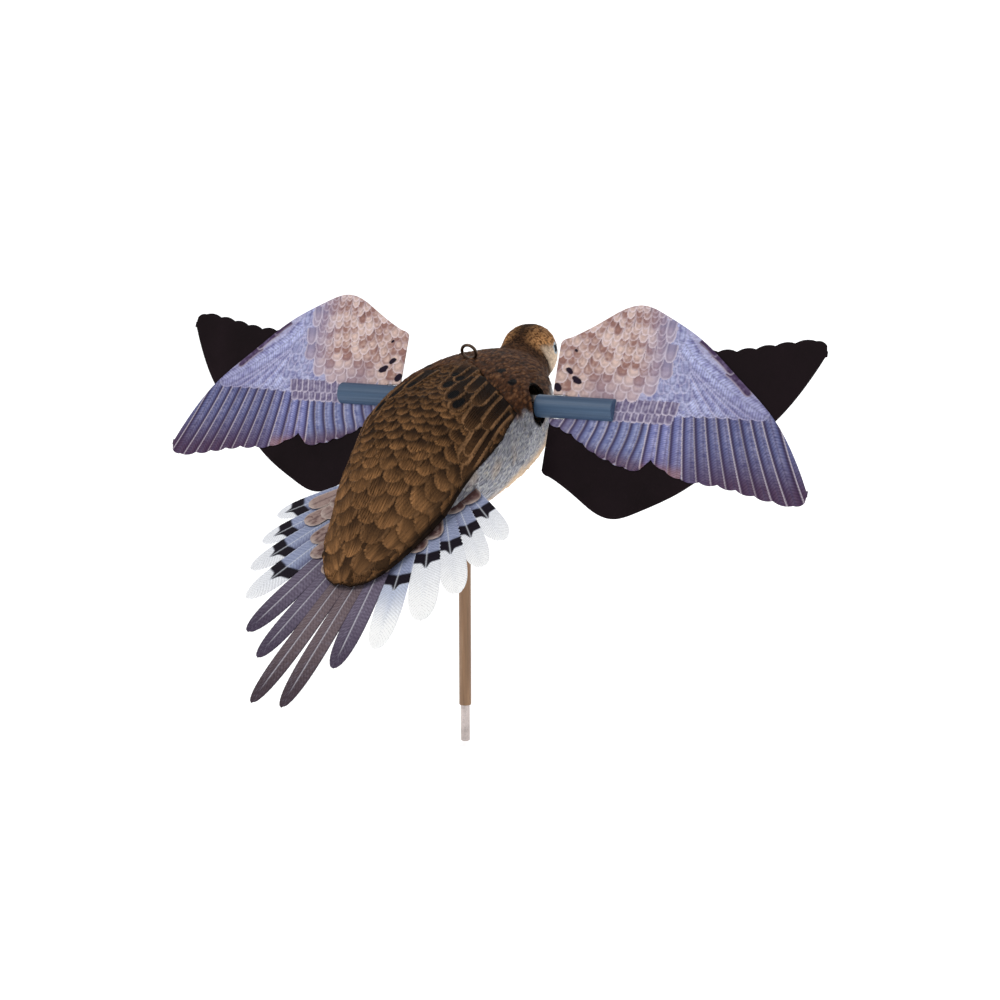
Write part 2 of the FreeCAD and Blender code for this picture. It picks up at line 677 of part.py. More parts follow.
def switch_slider():
    """The knob, at one end of its slot."""
    stem = box((-5, 0), (SWITCH_Y - 2, SWITCH_Y + 2), (-41.5, -32.4))
    ribs = [box((x, x + 0.5), (SWITCH_Y - 2.5, SWITCH_Y + 2.5), (-43, -40)) for x in (-4.5, -3.2, -1.9, -0.6)]
    for rib in ribs:
        stem = stem.cut(rib)
    return placed(stem, BODY_FRAME)


def tail_screws():
    one = screw(1.2, 7.3, 2.4, 1.4)
    one.rotate(vec(0, 0, 0), X_AXIS, 180)
    screws = [placed(moved(one, x, y, -8), BODY_FRAME) for x, y in TAIL_SCREW_PLACES]
    return group(screws)


def seat_magnet(side):
    return placed(Part.makeCylinder(3, 3, vec(side * MAGNET_X, MAGNET_Y, 8.2)), BODY_FRAME)


def cover_magnet(side):
    return placed(Part.makeCylinder(3, 3, vec(side * MAGNET_X, MAGNET_Y, 11.5)), BODY_FRAME)


def hang_ring():
    """A screw eye: a ring on a short shank, with a washer face on the shell."""
    ring = Part.makeTorus(5, 1, vec(0, RING_Y, 32.4), Y_AXIS)
    shank = Part.makeCylinder(1.3, 12.5, vec(0, RING_Y, 15.5))
    collar = placed(Part.makeCylinder(2.4, 2.4, vec(0, RING_Y, 25.4)), BODY_FRAME)
    return placed(ring.fuse(shank), BODY_FRAME).fuse(collar.cut(envelope(BODY_STATIONS, 0)))


def eye(side):
    """A glossy bead with a round front and a short stem in the head's socket."""
    bead = Part.makeSphere(EYE_R, vec(side * EYE_X, EYE_Y, EYE_Z))
    outer_half = sorted((side * EYE_X, side * (EYE_X + 5)))
    front = bead.common(box(outer_half, (EYE_Y - 5, EYE_Y + 5), (EYE_Z - 5, EYE_Z + 5)))
    return front.fuse(eye_socket(EYE_R, EYE_X - 2, EYE_X, side))


LEAD_ROUTES = {
    "lead_red": [(20, 33.9, 6), (20, 28, 6), (22, 18, 5), (25, 10, 5), (24, 6, 4.5), (19.1, 6, 4)],
    "lead_black": [(-22, 33.9, 6), (-22, 29, 5), (-24, 25, -2), (-26, 28, -11), (-24, 40, -18), (-18, 54, -22),
                   (-12, 64, -23), (-6, 72.5, -23), (-6, 74, -28.9)],
    "lead_switch": [(6, 74, -28.9), (6, 72.5, -23), (12, 62, -23), (18, 52, -20), (22, 38, -16), (25, 24, -11),
                    (26, 8, -6), (24.5, -4, -4), (19.1, -6, -4)],
}


def build():
    parts = {
        "upper_pole": upper_pole(), "pole_spigot": pole_spigot(),
        "belly_shell": belly_shell(), "back_cover": back_cover(), "tail_fan": tail_fan(),
        "pole_socket": pole_socket(), "motor_cradle": motor_cradle(), "motor_strap": motor_strap(),
        "strap_screws": strap_screws(), "socket_screws": socket_screws(),
        "motor_can": motor_can(), "motor_end_bell": motor_end_bell(),
        "motor_shaft": motor_shaft(), "armature_core": armature_core(),
        "armature_windings": armature_windings(), "commutator": commutator(),
        "hub_grub_screws": hub_grub_screws(),
        "battery_holder": battery_holder(), "switch_housing": switch_housing(),
        "switch_slider": switch_slider(), "tail_screws": tail_screws(), "hang_ring": hang_ring(),
    }
    for name, side in SIDES.items():
        parts[f"hub_{name}"] = hub(side)
        parts[f"wing_tube_{name}"] = wing_tube(side)
        parts[f"wing_magnet_{name}"] = wing_magnet(side)
        parts[f"printed_blade_{name}"] = printed_blade(side)
        parts[f"counter_blade_{name}"] = counter_blade(side)
        parts[f"motor_bush_{name}"] = bush(side)
        parts[f"contact_strip_{name}"] = contact_strip(side)
        parts[f"seat_magnet_{name}"] = seat_magnet(side)
        parts[f"cover_magnet_{name}"] = cover_magnet(side)
        parts[f"eye_{name}"] = eye(side)
    for name, side in (("upper", 1), ("lower", -1)):
        parts[f"motor_magnet_{name}"] = motor_magnet(side)
        parts[f"motor_brush_{name}"] = brush(side)
    for index in range(4):
        parts[f"battery_cell_{index + 1}"] = battery_cell(index)
    for name, route in LEAD_ROUTES.items():
        parts[name] = lead(route)
    return parts


def main():
    os.makedirs("parts", exist_ok=True)
    for name, shape in build().items():
        shape.exportStep(f"parts/{name}.step")
        print(f"{name}: {len(shape.Solids)} solid, valid {shape.isValid()}, volume {shape.Volume:.1f}")


main()
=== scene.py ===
import json
import math

import bpy
import numpy as np
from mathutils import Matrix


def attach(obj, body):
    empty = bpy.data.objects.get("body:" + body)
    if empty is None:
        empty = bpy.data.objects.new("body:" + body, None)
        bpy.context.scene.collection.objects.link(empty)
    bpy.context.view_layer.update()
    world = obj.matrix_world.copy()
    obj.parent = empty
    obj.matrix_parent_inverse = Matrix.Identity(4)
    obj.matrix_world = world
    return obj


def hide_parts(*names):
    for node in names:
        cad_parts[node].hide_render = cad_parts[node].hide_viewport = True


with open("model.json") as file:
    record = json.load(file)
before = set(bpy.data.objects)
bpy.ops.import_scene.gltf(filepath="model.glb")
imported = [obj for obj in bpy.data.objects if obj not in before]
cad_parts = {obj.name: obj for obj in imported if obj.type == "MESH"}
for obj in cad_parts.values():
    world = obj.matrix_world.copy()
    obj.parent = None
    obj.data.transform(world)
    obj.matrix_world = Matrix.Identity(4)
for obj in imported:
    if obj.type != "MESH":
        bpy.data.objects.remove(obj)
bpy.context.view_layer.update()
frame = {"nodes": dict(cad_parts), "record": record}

# Motion wing decoy: feathered shells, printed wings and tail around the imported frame.
# Lengths below are millimetres unless a name ends in _M; scene units are metres.
MM = 0.001
SHAFT = np.array([0.0, -13.0, 200.0])
BODY_TILT = math.radians(-25.0)
WING_TILT = math.radians(20.5)
TAIL_TILT = math.radians(-30.4)
TAIL_ORIGIN = np.array([0.0, 62.0, 158.0])
WALL = 2.0
rng = np.random.default_rng(7)


# ---- camera ----

def new_object(name, data):
    thing = bpy.data.objects.new(name, data)
    bpy.context.scene.collection.objects.link(thing)
    return thing


def set_camera():
    """The camera behind the dove's right shoulder, a little above it, pitched down."""
    data = bpy.data.cameras.new("camera")
    camera = new_object("camera", data)
    data.sensor_width = 36
    data.lens = 66.29
    data.clip_start = 0.05
    data.clip_end = 30
    camera.location = (-0.5570, 1.0354, 0.3503)
    camera.rotation_euler = (math.radians(79.724), 0, math.radians(207.158))
    bpy.context.scene.camera = camera


set_camera()


# ---- local frames ----

def turned(points, tilt, origin):
    """Points of a frame that is turned about X by the tilt, in metres in the part's frame."""
    c, s = math.cos(tilt), math.sin(tilt)
    x, y, z = points[..., 0], points[..., 1], points[..., 2]
    return (np.stack([x, y * c - z * s, y * s + z * c], -1) + origin) * MM


def from_body(points):
    return turned(points, BODY_TILT, SHAFT)


# ---- mesh helpers ----

def grid_faces(rows, columns, closed=False):
    """Quads of a grid of points. A closed grid joins its last column to its first."""
    i, j = np.meshgrid(np.arange(rows - 1), np.arange(columns if closed else columns - 1), indexing="ij")
    here, beside = i * columns + j, i * columns + (j + 1) % columns
    return np.stack([here, beside, beside + columns, here + columns], -1).reshape(-1, 4)


def smooth_mesh(name, points, faces):
    mesh = bpy.data.meshes.new(name)
    mesh.from_pydata(points.reshape(-1, 3).tolist(), [], [list(face) for face in faces])
    mesh.update()
    mesh.polygons.foreach_set("use_smooth", [True] * len(mesh.polygons))
    return mesh


def make_piece(name, points, faces, material, body, slot, colours=None, fields=None):
    """A mesh piece that rides on a body. colours and fields are per point."""
    mesh = smooth_mesh(name, points, faces)
    for key, values in (("Col", colours), ("Fea", fields)):
        if values is not None:
            layer = mesh.color_attributes.new(key, "FLOAT_COLOR", "POINT")
            flat = np.ones((len(mesh.vertices), 4))
            flat[:, :values.shape[-1]] = values.reshape(-1, values.shape[-1])
            layer.data.foreach_set("color", flat.astype(np.float32).ravel())
    piece = new_object(name, mesh)
    for one in material if isinstance(material, list) else [material]:
        mesh.materials.append(one)
    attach(piece, body)
    return piece


def ease(low, high, value):
    t = np.clip((value - low) / (high - low), 0, 1)
    return t * t * (3 - 2 * t)


def linear(colour):
    """A colour as linear numbers. Text is a web colour, and anything else is linear already."""
    if not isinstance(colour, str):
        return colour
    value = np.array(list(bytes.fromhex(colour[1:]))) / 255
    return np.where(value <= 0.04045, value / 12.92, ((value + 0.055) / 1.055) ** 2.4)


def mix(a, b, share):
    share = np.asarray(share)[..., None]
    return linear(a) * (1 - share) + linear(b) * share


def coats(colour, *layers):
    """A colour under layers of paint, each with its colour and how far it covers."""
    for paint, cover in layers:
        colour = mix(colour, paint, cover)
    return colour


def cloud(x, y, scale, seed):
    """Smooth cloudy noise from -1 to 1 over a plane."""
    local = np.random.default_rng(seed)
    table = local.uniform(-1, 1, (64, 64))
    u, v = np.asarray(x) / scale + 500.0, np.asarray(y) / scale + 500.0
    i, j = np.floor(u).astype(int), np.floor(v).astype(int)
    a, b = u - i, v - j
    a, b = a * a * (3 - 2 * a), b * b * (3 - 2 * b)
    def at(di, dj):
        return table[(i + di) % 64, (j + dj) % 64]
    return (at(0, 0) * (1 - a) + at(1, 0) * a) * (1 - b) + (at(0, 1) * (1 - a) + at(1, 1) * a) * b


# ---- materials ----

class Nodes:
    """A short way to build a material's node tree."""

    def __init__(self, name, roughness=0.6, **sockets):
        self.material = bpy.data.materials.new(name)
        self.material.use_nodes = True
        self.tree = self.material.node_tree
        self.shader = self.tree.nodes["Principled BSDF"]
        self.shader.inputs["Roughness"].default_value = roughness
        for key, value in sockets.items():
            self.shader.inputs[key.replace("_", " ")].default_value = value

    def add(self, kind, inputs=None, **settings):
        node = self.tree.nodes.new(kind)
        for key, value in settings.items():
            setattr(node, key, value)
        for key, value in (inputs or {}).items():
            if isinstance(value, bpy.types.NodeSocket):
                self.tree.links.new(value, node.inputs[key])
            else:
                node.inputs[key].default_value = value
        return node

    def math(self, operation, a, b=0.0):
        return self.add("ShaderNodeMath", {0: a, 1: b}, operation=operation).outputs[0]

    def noise(self, vector, scale, detail=3.0, roughness=0.5):
        return self.add("ShaderNodeTexNoise", {"Vector": vector, "Scale": scale, "Detail": detail,
                                               "Roughness": roughness}).outputs["Fac"]

    def drawn(self, vector, stretch, detail=3.0, roughness=0.5):
        """Noise stretched along the axis with the smallest number."""
        mapping = self.add("ShaderNodeMapping", {"Vector": vector, "Scale": stretch})
        return self.noise(mapping.outputs[0], 1.0, detail, roughness)

    def ramp(self, factor, stops):
        node = self.add("ShaderNodeValToRGB", {"Fac": factor})
        ramp = node.color_ramp
        while len(ramp.elements) < len(stops):
            ramp.elements.new(0.5)
        for element, (place, colour) in zip(ramp.elements, stops):
            element.position = place
            element.color = (*np.broadcast_to(linear(colour), 3), 1)
        return node.outputs["Color"]

    def multiply(self, a, b):
        node = self.tree.nodes.new("ShaderNodeMix")
        node.data_type, node.blend_type = "RGBA", "MULTIPLY"
        node.inputs[0].default_value = 1.0
        self.tree.links.new(a, node.inputs[6])
        self.tree.links.new(b, node.inputs[7])
        return node.outputs[2]

    def bump(self, height, strength, distance):
        node = self.add("ShaderNodeBump", {"Height": height, "Strength": strength, "Distance": distance})
        self.tree.links.new(node.outputs["Normal"], self.shader.inputs["Normal"])

    def to(self, socket, output):
        self.tree.links.new(output, self.shader.inputs[socket])

    def place(self):
        return self.add("ShaderNodeNewGeometry").outputs["Position"]

    def object_place(self):
        return self.add("ShaderNodeTexCoord").outputs["Object"]


def feathered(name, roughness, barb_colour, barb_bump, grain, streaks, chevrons):
    """Painted feathers. Each one's colour comes with the mesh.

    Its barbs are fine lines: streaks run along the feather, and chevrons run out from its shaft."""
    m = Nodes(name, roughness, Specular_IOR_Level=0.06)
    colour = m.add("ShaderNodeVertexColor", layer_name="Col").outputs["Color"]
    field = m.add("ShaderNodeVertexColor", layer_name="Fea").outputs["Color"]
    split = m.add("ShaderNodeSeparateColor", {"Color": field})
    along, across, chance = split.outputs[0], split.outputs[1], split.outputs[2]
    place = m.object_place()
    wobble = m.noise(place, 700.0, 2.0)
    aside = m.math("ABSOLUTE", m.math("SUBTRACT", across, 0.5))
    lean = m.math("MULTIPLY", m.math("SUBTRACT", across, 0.5), along)
    phase = m.math("ADD", m.math("MULTIPLY", across, streaks), m.math("MULTIPLY", lean, streaks * 0.65))
    swept = m.math("ADD", along, m.math("MULTIPLY", aside, 0.1))
    for part, amount in ((swept, chevrons), (wobble, 3.0), (chance, 40.0)):
        phase = m.math("ADD", phase, m.math("MULTIPLY", part, amount))
    barbs = m.math("MULTIPLY_ADD", m.math("SINE", phase), 0.5)
    barbs.node.inputs[2].default_value = 0.5
    mottle = m.noise(place, grain, 4.0, 0.65)
    shade = m.math("ADD", m.math("MULTIPLY", barbs, barb_colour), m.math("MULTIPLY", mottle, 0.7))
    tone = m.ramp(shade, [(0.2, 0.62), (0.62, 1.12)])
    m.to("Base Color", m.multiply(colour, tone))
    height = m.math("ADD", barbs, m.math("MULTIPLY", mottle, 0.6))
    m.bump(height, barb_bump, 0.0005)
    m.to("Roughness", m.ramp(mottle, [(0.3, roughness - 0.1), (0.7, roughness + 0.12)]))
    return m.material


def moulded(name, colour, roughness, grain=900.0):
    """Plain moulded or painted plastic with a fine grain and slight colour drift."""
    m = Nodes(name, roughness)
    place = m.object_place()
    fine = m.noise(place, grain, 3.0, 0.6)
    broad = m.noise(place, grain / 20, 3.0, 0.5)
    tone = m.ramp(m.math("ADD", m.math("MULTIPLY", fine, 0.4), m.math("MULTIPLY", broad, 0.6)),
                  [(0.3, [v * 0.82 for v in colour]), (0.7, [min(1, v * 1.14) for v in colour])])
    m.to("Base Color", tone)
    m.to("Roughness", m.ramp(broad, [(0.3, roughness - 0.08), (0.7, roughness + 0.1)]))
    m.bump(fine, 0.2, 0.0002)
    return m.material


def metal(name, colour, roughness, stain=0.25):
    """Metal with fine drawn lines and slight tarnish."""
    m = Nodes(name, roughness, Metallic=1.0)
    place = m.object_place()
    lines = m.drawn(place, (40.0, 1600.0, 1600.0), roughness=0.6)
    tarnish = m.noise(place, 160.0, 4.0, 0.6)
    tone = m.ramp(tarnish, [(0.35, [v * (1 - stain) for v in colour]), (0.65, colour)])
    m.to("Base Color", tone)
    m.to("Roughness", m.ramp(lines, [(0.3, roughness - 0.08), (0.7, roughness + 0.14)]))
    m.bump(lines, 0.12, 0.0001)
    return m.material


# ---- the dove's envelope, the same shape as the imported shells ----

# Rearward place, half width, top, bottom, height of the widest point, in the tilted body frame.
BODY_STATIONS = (
    (-102.6, 3.5, -8.5, -16, -12.2), (-100.5, 8.2, -4.0, -20.3, -12.2), (-96, 13.2, 1.4, -24.6, -12.2),
    (-90, 16.4, 4.5, -28, -12.3), (-84, 17.4, 5.2, -29.8, -12.6), (-78, 16.8, 3.8, -31.2, -13),
    (-71, 17.6, 1.2, -33.6, -14.5), (-64, 20, 1.0, -37, -16), (-56, 25, 5.0, -42.5, -17.5),
    (-48, 30, 10.2, -48, -16.5), (-40, 34.5, 14.2, -53, -15), (-15, 43.6, 24.6, -59, -7),
    (15, 47.6, 31.2, -55, 3), (50, 47.6, 34, -46, 6), (85, 42.5, 29, -34.5, 4), (105, 35.5, 22.6, -25, -1),
    (115, 29, 18.5, -18.5, -3.5), (121, 24, 16, -14, -5))
COVER_STATIONS = (
    *BODY_STATIONS[11:14], (85, 42.5, 29, -30, 4),
    (115, 36.8, 20.6, -27, 0), (140, 30.2, 11.6, -22, -4), (160, 24.2, 3.6, -20, -6.5),
    (172, 18.6, -1.6, -18, -8), (180, 12.2, -5.6, -15.5, -9), (184.5, 4.5, -8.5, -12.5, -10))
RIM = ((-30, 12.6), (28.5, 12.2), (47, 10.8), (70, 7.2), (88, 5.2), (104, 1.0), (118, -4.8), (136, -7.6),
       (152, -9.2), (170, -11), (200, -13))
FRONT_EDGE = ((0, -2.5), (12, 6.5), (27, 21.5), (40, 29), (60, 33))
SQUARENESS = 2.2


def smooth_curve(knots, places):
    """Values between knots by a cubic that does not overshoot."""
    knots = np.array(knots, float)
    x, y = knots[:, 0], knots[:, 1:]
    step = np.diff(x)[:, None]
    slope = np.diff(y, axis=0) / step
    before, after = slope[:-1], slope[1:]
    inner = np.where(before * after > 0, 2 * before * after / (before + after + 1e-12), 0)
    tangent = np.vstack([slope[:1], inner, slope[-1:]])
    places = np.asarray(places, float)
    index = np.clip(np.searchsorted(x, places) - 1, 0, len(x) - 2)
    span = step[index]
    t = ((places - x[index])[..., None]) / span
    value = (y[index] * (2 * t**3 - 3 * t**2 + 1) + tangent[index] * span * (t**3 - 2 * t**2 + t)
             + y[index + 1] * (3 * t**2 - 2 * t**3) + tangent[index + 1] * span * (t**3 - t**2))
    return value


def skin(stations, y, angle):
    """Points on the envelope at rearward places y and angles round the section, 0 at the dove's left."""
    width, top, bottom, middle = np.moveaxis(smooth_curve(stations, y), -1, 0)
    power = 2 / SQUARENESS
    across = np.sign(np.cos(angle)) * np.abs(np.cos(angle)) ** power
    up = np.sign(np.sin(angle)) * np.abs(np.sin(angle)) ** power
    height = np.where(up > 0, top - middle, middle - bottom)
    return np.stack([np.maximum(width, 0.4) * across, y, middle + up * np.maximum(height, 0.4)], -1)


def normals(points):
    """Outward unit normals of a grid of points."""
    normal = np.cross(np.gradient(points, axis=1), np.gradient(points, axis=0))
    return normal / (np.linalg.norm(normal, axis=-1, keepdims=True) + 1e-12)


# ---- feathers laid on a surface ----

def lay_feathers(u, v, feathers):
    """Lays overlapping feathers, the last ones on top.

    u, v are surface coordinates in mm. A feather is (tip u, tip v, heading, length, width, point, kind,
    bend). Its heading is the direction from root to tip, and its bend is how far its middle bows sideways.
    Returns each place's feather number, its distance behind the tip in feather lengths, its place across
    from -1 to 1, and its distance to the feather's edge in mm."""
    shape = u.shape
    u, v = u.ravel(), v.ravel()
    owner = np.full(u.shape, -1)
    back, across, edge = np.ones(u.shape), np.zeros(u.shape), np.zeros(u.shape)
    for number, (tip_u, tip_v, heading, length, width, point, _, bend) in enumerate(feathers):
        reach = length + width
        near = np.flatnonzero((np.abs(u - tip_u) < reach) & (np.abs(v - tip_v) < reach))
        du, dv = u[near] - tip_u, v[near] - tip_v
        c, s = math.cos(heading), math.sin(heading)
        behind = -(du * c + dv * s)
        side = -du * s + dv * c - 4 * bend * behind / length * (1 - behind / length)
        nose = width * point
        share = np.clip(behind / nose, 0, 1)
        half = width / 2 * np.sqrt(np.maximum(1 - (1 - share) ** 2, 0))
        inside = (behind > 0) & (behind < length) & (np.abs(side) < half)
        hit = near[inside]
        owner[hit] = number
        back[hit] = behind[inside] / length
        across[hit] = side[inside] / (width / 2)
        edge[hit] = np.minimum(half[inside] - np.abs(side[inside]), behind[inside] * 0.9)
    return [values.reshape(shape) for values in (owner, back, across, edge)]


def relief(owner, back, across, edge, step):
    """Height over the bare surface in mm: each feather rises to its tip and drops at its edge."""
    height = step * ((1 - back) ** 0.7 + 0.35 * (1 - across**2) - 0.55 * np.exp(-edge / 0.45))
    return np.where(owner >= 0, np.maximum(height, 0), 0)


def of_feather(feathers, owner, last=0):
    """The kind of the feather at each place, and a random share that is the same all over each feather."""
    kinds = np.array([feather[6] for feather in feathers] + [last])[owner]
    return kinds, rng.uniform(0, 1, len(feathers) + 1)[owner]


def barb_fields(back, across, chance):
    """What the feathered materials read at each place: along, across, and a share per feather."""
    return np.stack(np.broadcast_arrays(back, across * 0.5 + 0.5, chance), -1)


def bell(distance, width):
    return np.exp(-(distance / width) ** 2)


def solidify(piece, thickness):
    """Gives a one-sided skin its wall, inward from the skin."""
    wall = piece.modifiers.new("wall", "SOLIDIFY")
    wall.thickness = thickness * MM
    wall.offset = -1
    return piece


# ---- back cover: dark brown scalloped feathers ----

DARK_BROWN = "#2e1f14"
OCHRE = "#a4754a"
NEAR_BLACK = "#140e0b"
EARTH = linear("#523928")
COVER_END = COVER_STATIONS[-1][0]


def rim_angle(stations, y):
    """The angle round the section at which the skin meets the parting line."""
    _, top, bottom, middle = np.moveaxis(smooth_curve(stations, y), -1, 0)
    height = np.interp(y, *np.array(RIM, float).T)
    up = (height - middle) / np.where(height > middle, top - middle, middle - bottom)
    return np.sign(up) * np.arcsin(np.minimum(np.abs(up), 0.98) ** (SQUARENESS / 2))


def front_place(points):
    """The rearward place of the cover's front edge at each point's distance from the middle."""
    return np.interp(np.abs(points[..., 0]), *np.array(FRONT_EDGE, float).T)


def surface_spread(points, centre):
    """Distance round the section from its centre column, in mm, positive to the dove's left."""
    steps = np.linalg.norm(np.diff(points, axis=1), axis=-1)
    run = np.concatenate([np.zeros((len(points), 1)), np.cumsum(steps, 1)], 1)
    return run[:, [centre]] - run


def spread_at(y, sections, spreads):
    """The spread at each place of a grid, from sections that each lie at one rearward place."""
    return np.stack([np.interp(places, sections, spread) for places, spread in zip(y.T, spreads.T)], 1)


def cover_feathers(half_width_at, last_y):
    """The cover's feathers, the rearmost first."""
    feathers = []
    y = last_y + 4.0
    row = 0
    while y > 2:
        size = np.interp(y, [20, 60, 100, 140, 185], [8.0, 10.5, 13, 15.5, 13])
        half = float(half_width_at(y))
        drift = (float(half_width_at(y + 3)) - float(half_width_at(y - 3))) / 6 / max(half, 4)
        count = max(int(2 * half / size), 1)
        for k in range(-count, count + 1):
            v = (k + 0.5 * (row % 2)) * size * 0.86 + rng.uniform(-1, 1)
            if abs(v) > half + size * 0.4:
                continue
            heading = math.atan(drift * v) + rng.uniform(-0.12, 0.12)
            length = size * np.interp(y, [20, 90, 150], [1.5, 1.7, 3.2])
            tip = y + rng.uniform(-1.6, 1.6) - 0.05 * abs(v)
            width, point = size * rng.uniform(0.92, 1.15), rng.uniform(0.6, 0.85)
            feathers.append((tip, v, heading, length, width, point, 0, 0))
        y -= size * np.interp(y, [20, 90, 150], [0.5, 0.56, 0.66])
        row += 1
    return feathers


# Scapular feathers, rearmost first: tip rearward, tip round the back, heading, length, width, kind.
# Kind 1 has a dark spot, and kind 2 has none.
SCAPULARS = (
    (98, -47, 0.02, 62, 9, 2), (92, -41, 0.05, 58, 9, 2), (85, -41.5, 0.06, 52, 8, 2),
    (70, -35, 0.05, 40, 12, 2), (62, -44, 0.00, 40, 9, 2), (61, -21, 0.08, 36, 11.5, 1),
    (50, -31, 0.02, 30, 10, 2), (53, -14, 0.10, 32, 11.5, 1), (41, -5, 0.12, 28, 11, 1),
    (40, -22, 0.04, 22, 9, 2), (30, -9, 0.10, 22, 10, 1), (24.5, -3, 0.12, 18, 9, 1),
    (88, 42, -0.02, 56, 9, 2), (74, 36, 0.12, 40, 11, 2), (62, 37, 0.25, 32, 11.5, 1),
    (50, 32, 0.30, 28, 11.5, 1), (40, 23, 0.30, 26, 11.5, 1), (28, 33, 0.25, 20, 9, 2),
    (15, 30, 0.30, 15, 9.5, 1))


def paint_cover(u, v, owner, back, across, edge, feathers, rim_distance):
    """The cover's colour at each place, with painted highlight on the feather tips and painted shade at their
    roots and along the rim.
    """
    kinds, chance = of_feather(feathers, owner)
    back = np.where(owner < 0, 0.25, back)
    tip = 1 - back
    fan = across * (1.6 - back) * 15 + chance * 9
    streak = 0.5 + 0.5 * np.sin(fan * 2.2) * np.cos(fan * 0.7)
    # the pale ochre tips: partly the feathers' own colour, partly painted highlight on their raised tips
    pale = ease(0.55, 1.0, tip) ** 1.3 * (0.25 + 0.75 * streak) * (0.5 + 0.5 * chance)
    pale = pale * np.where(kinds == 0, 1.0, 0.35)
    colour = mix(DARK_BROWN, OCHRE, pale)
    # darker towards each feather's root: partly its own dark base, partly painted shade where the next
    # feather overlaps it
    colour = mix(colour, NEAR_BLACK, ease(0.35, 0.75, back) * 0.75)
    outline = bell(edge - 0.5, 0.38)
    colour = mix(colour, "#926c4a", np.where(kinds > 0, outline * 0.75, outline * 0.3 * tip))
    spot = ease(1.0, 0.8, ((back - 0.26) / 0.17) ** 2 + (across / 0.6) ** 2)
    colour = mix(colour, "#0c0c0e", np.where(kinds == 1, spot, 0))
    shaft = bell(across, 0.07) * ease(0.1, 0.3, back)
    colour = mix(colour, NEAR_BLACK, shaft * 0.45)
    drift = cloud(u, v, 9.0, 3)[..., None]
    colour = colour * (1 + 0.16 * drift)
    mantle = ease(14, 2, u)
    colour = mix(colour, EARTH * (1 + 0.25 * cloud(u / 4, v, 1.1, 5)[..., None]), mantle * 0.85)
    # a dark band along the rim: partly the rim's dark paint, partly painted shade where the side turns down
    # away from the light
    painted = np.interp(u, [60, 100, 130, 160, 176], [2.0, 5.0, 9.0, 6.0, 2.0])
    return mix(colour, "#100b09", ease(painted, 0.3 * painted, rim_distance) * 0.93)


def build_cover():
    """The lift-off cover: a thin feathered shell over the back."""
    rows, columns = ((330, 231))
    share = np.linspace(0, 1, columns)[None, :]
    along = np.linspace(0, 1, rows)[:, None]
    start = np.full((1, columns), 10.0)
    for _ in range(12):
        low = rim_angle(COVER_STATIONS, start)
        start = front_place(skin(COVER_STATIONS, start, low + (math.pi - 2 * low) * share))
    y = start + (COVER_END - start) * along
    low = rim_angle(COVER_STATIONS, y)
    base = skin(COVER_STATIONS, y, low + (math.pi - 2 * low) * share)
    sections = np.append(np.arange(-15, COVER_END - 1, 2.5), COVER_END)
    turn = rim_angle(COVER_STATIONS, sections)[:, None]
    level = skin(COVER_STATIONS, sections[:, None] + 0 * share, turn + (math.pi - 2 * turn) * share)
    halves = surface_spread(level, columns // 2)
    v = spread_at(y, sections, halves)

    def half_width_at(place):
        return np.interp(place, sections, halves[:, 0])

    feathers = cover_feathers(half_width_at, COVER_END)
    feathers += [(*shape, 0.75, kind, 0) for *shape, kind in SCAPULARS]
    owner, back, across, edge = lay_feathers(y, v, feathers)
    height = relief(owner, back, across, edge, 1.15)
    fine = 0.16 * np.sin(across * 26 + back * 9) * ease(0.9, 0.5, back)
    mantle = ease(14, 2, y)
    height = (height + fine) * (1 - 0.8 * mantle) + mantle * 0.25 * cloud(y / 4, v, 1.1, 5)
    rim_distance = np.minimum(half_width_at(y) - np.abs(v), 30) + 0.5
    points = base + normals(base) * (height * ease(0.3, 3.0, rim_distance))[..., None]
    # painted shadow along the cover's front edge at the sides, where it stands proud of the shell
    seam_shadow = ease(1.5, 0.6, y - start) * ease(12, 22, np.abs(v))
    centre = points[-1].mean(0)
    points[-1] = centre + 0.15 * (points[-1] - centre)
    colours = mix(paint_cover(y, v, owner, back, across, edge, feathers, rim_distance), NEAR_BLACK, seam_shadow)
    fields = barb_fields(back, across, of_feather(feathers, owner)[1])
    cover = make_piece("back_cover_feathers", from_body(points), grid_faces(rows, columns), cover_paint,
                       "back_cover", "cover_plastic", colours, fields)
    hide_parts("back_cover")
    solidify(cover, WALL)


cover_paint = feathered("cover_paint", 0.66, 0.9, 0.6, 500.0, 46.0, 0.0)
build_cover()


# ---- head, breast and belly ----

MANTLE_BROWN = "#4c2f1d"
BELLY_GREY = "#7a7a86"
BELLY_WHITE = "#bcbcbe"
CREAM = "#dec09e"
EYE_PLACE = np.array([14.6, -97.0, 227.6])
SOCKET_HOLE_R = 12.5
CORNER_Y = 31.0
HEAD_Y = -102.6
TAIL_END_Y = 121.0
TOP_COLUMNS = 0.42


def body_feathers(girth_at):
    """Small feathers over the whole body, rearmost first."""
    feathers = []
    y = TAIL_END_Y + 4
    row = 0
    while y > HEAD_Y:
        size = np.interp(y, [-100, -70, -30, 0, 80], [1.9, 2.6, 5.0, 8.0, 10.0])
        half = float(girth_at(y))
        count = int(half / (size * 0.84)) + 1
        for k in range(-count, count + 1):
            v = (k + 0.5 * (row % 2)) * size * 0.84 + rng.uniform(-0.15, 0.15) * size
            if abs(v) < half + size * 0.5:
                heading = rng.uniform(-0.25, 0.25)
                feathers.append((y + rng.uniform(-0.2, 0.2) * size, v, heading, size * 1.5,
                                 size * rng.uniform(0.9, 1.1), 0.8, 0, 0))
        y -= size * 0.55
        row += 1
    return feathers


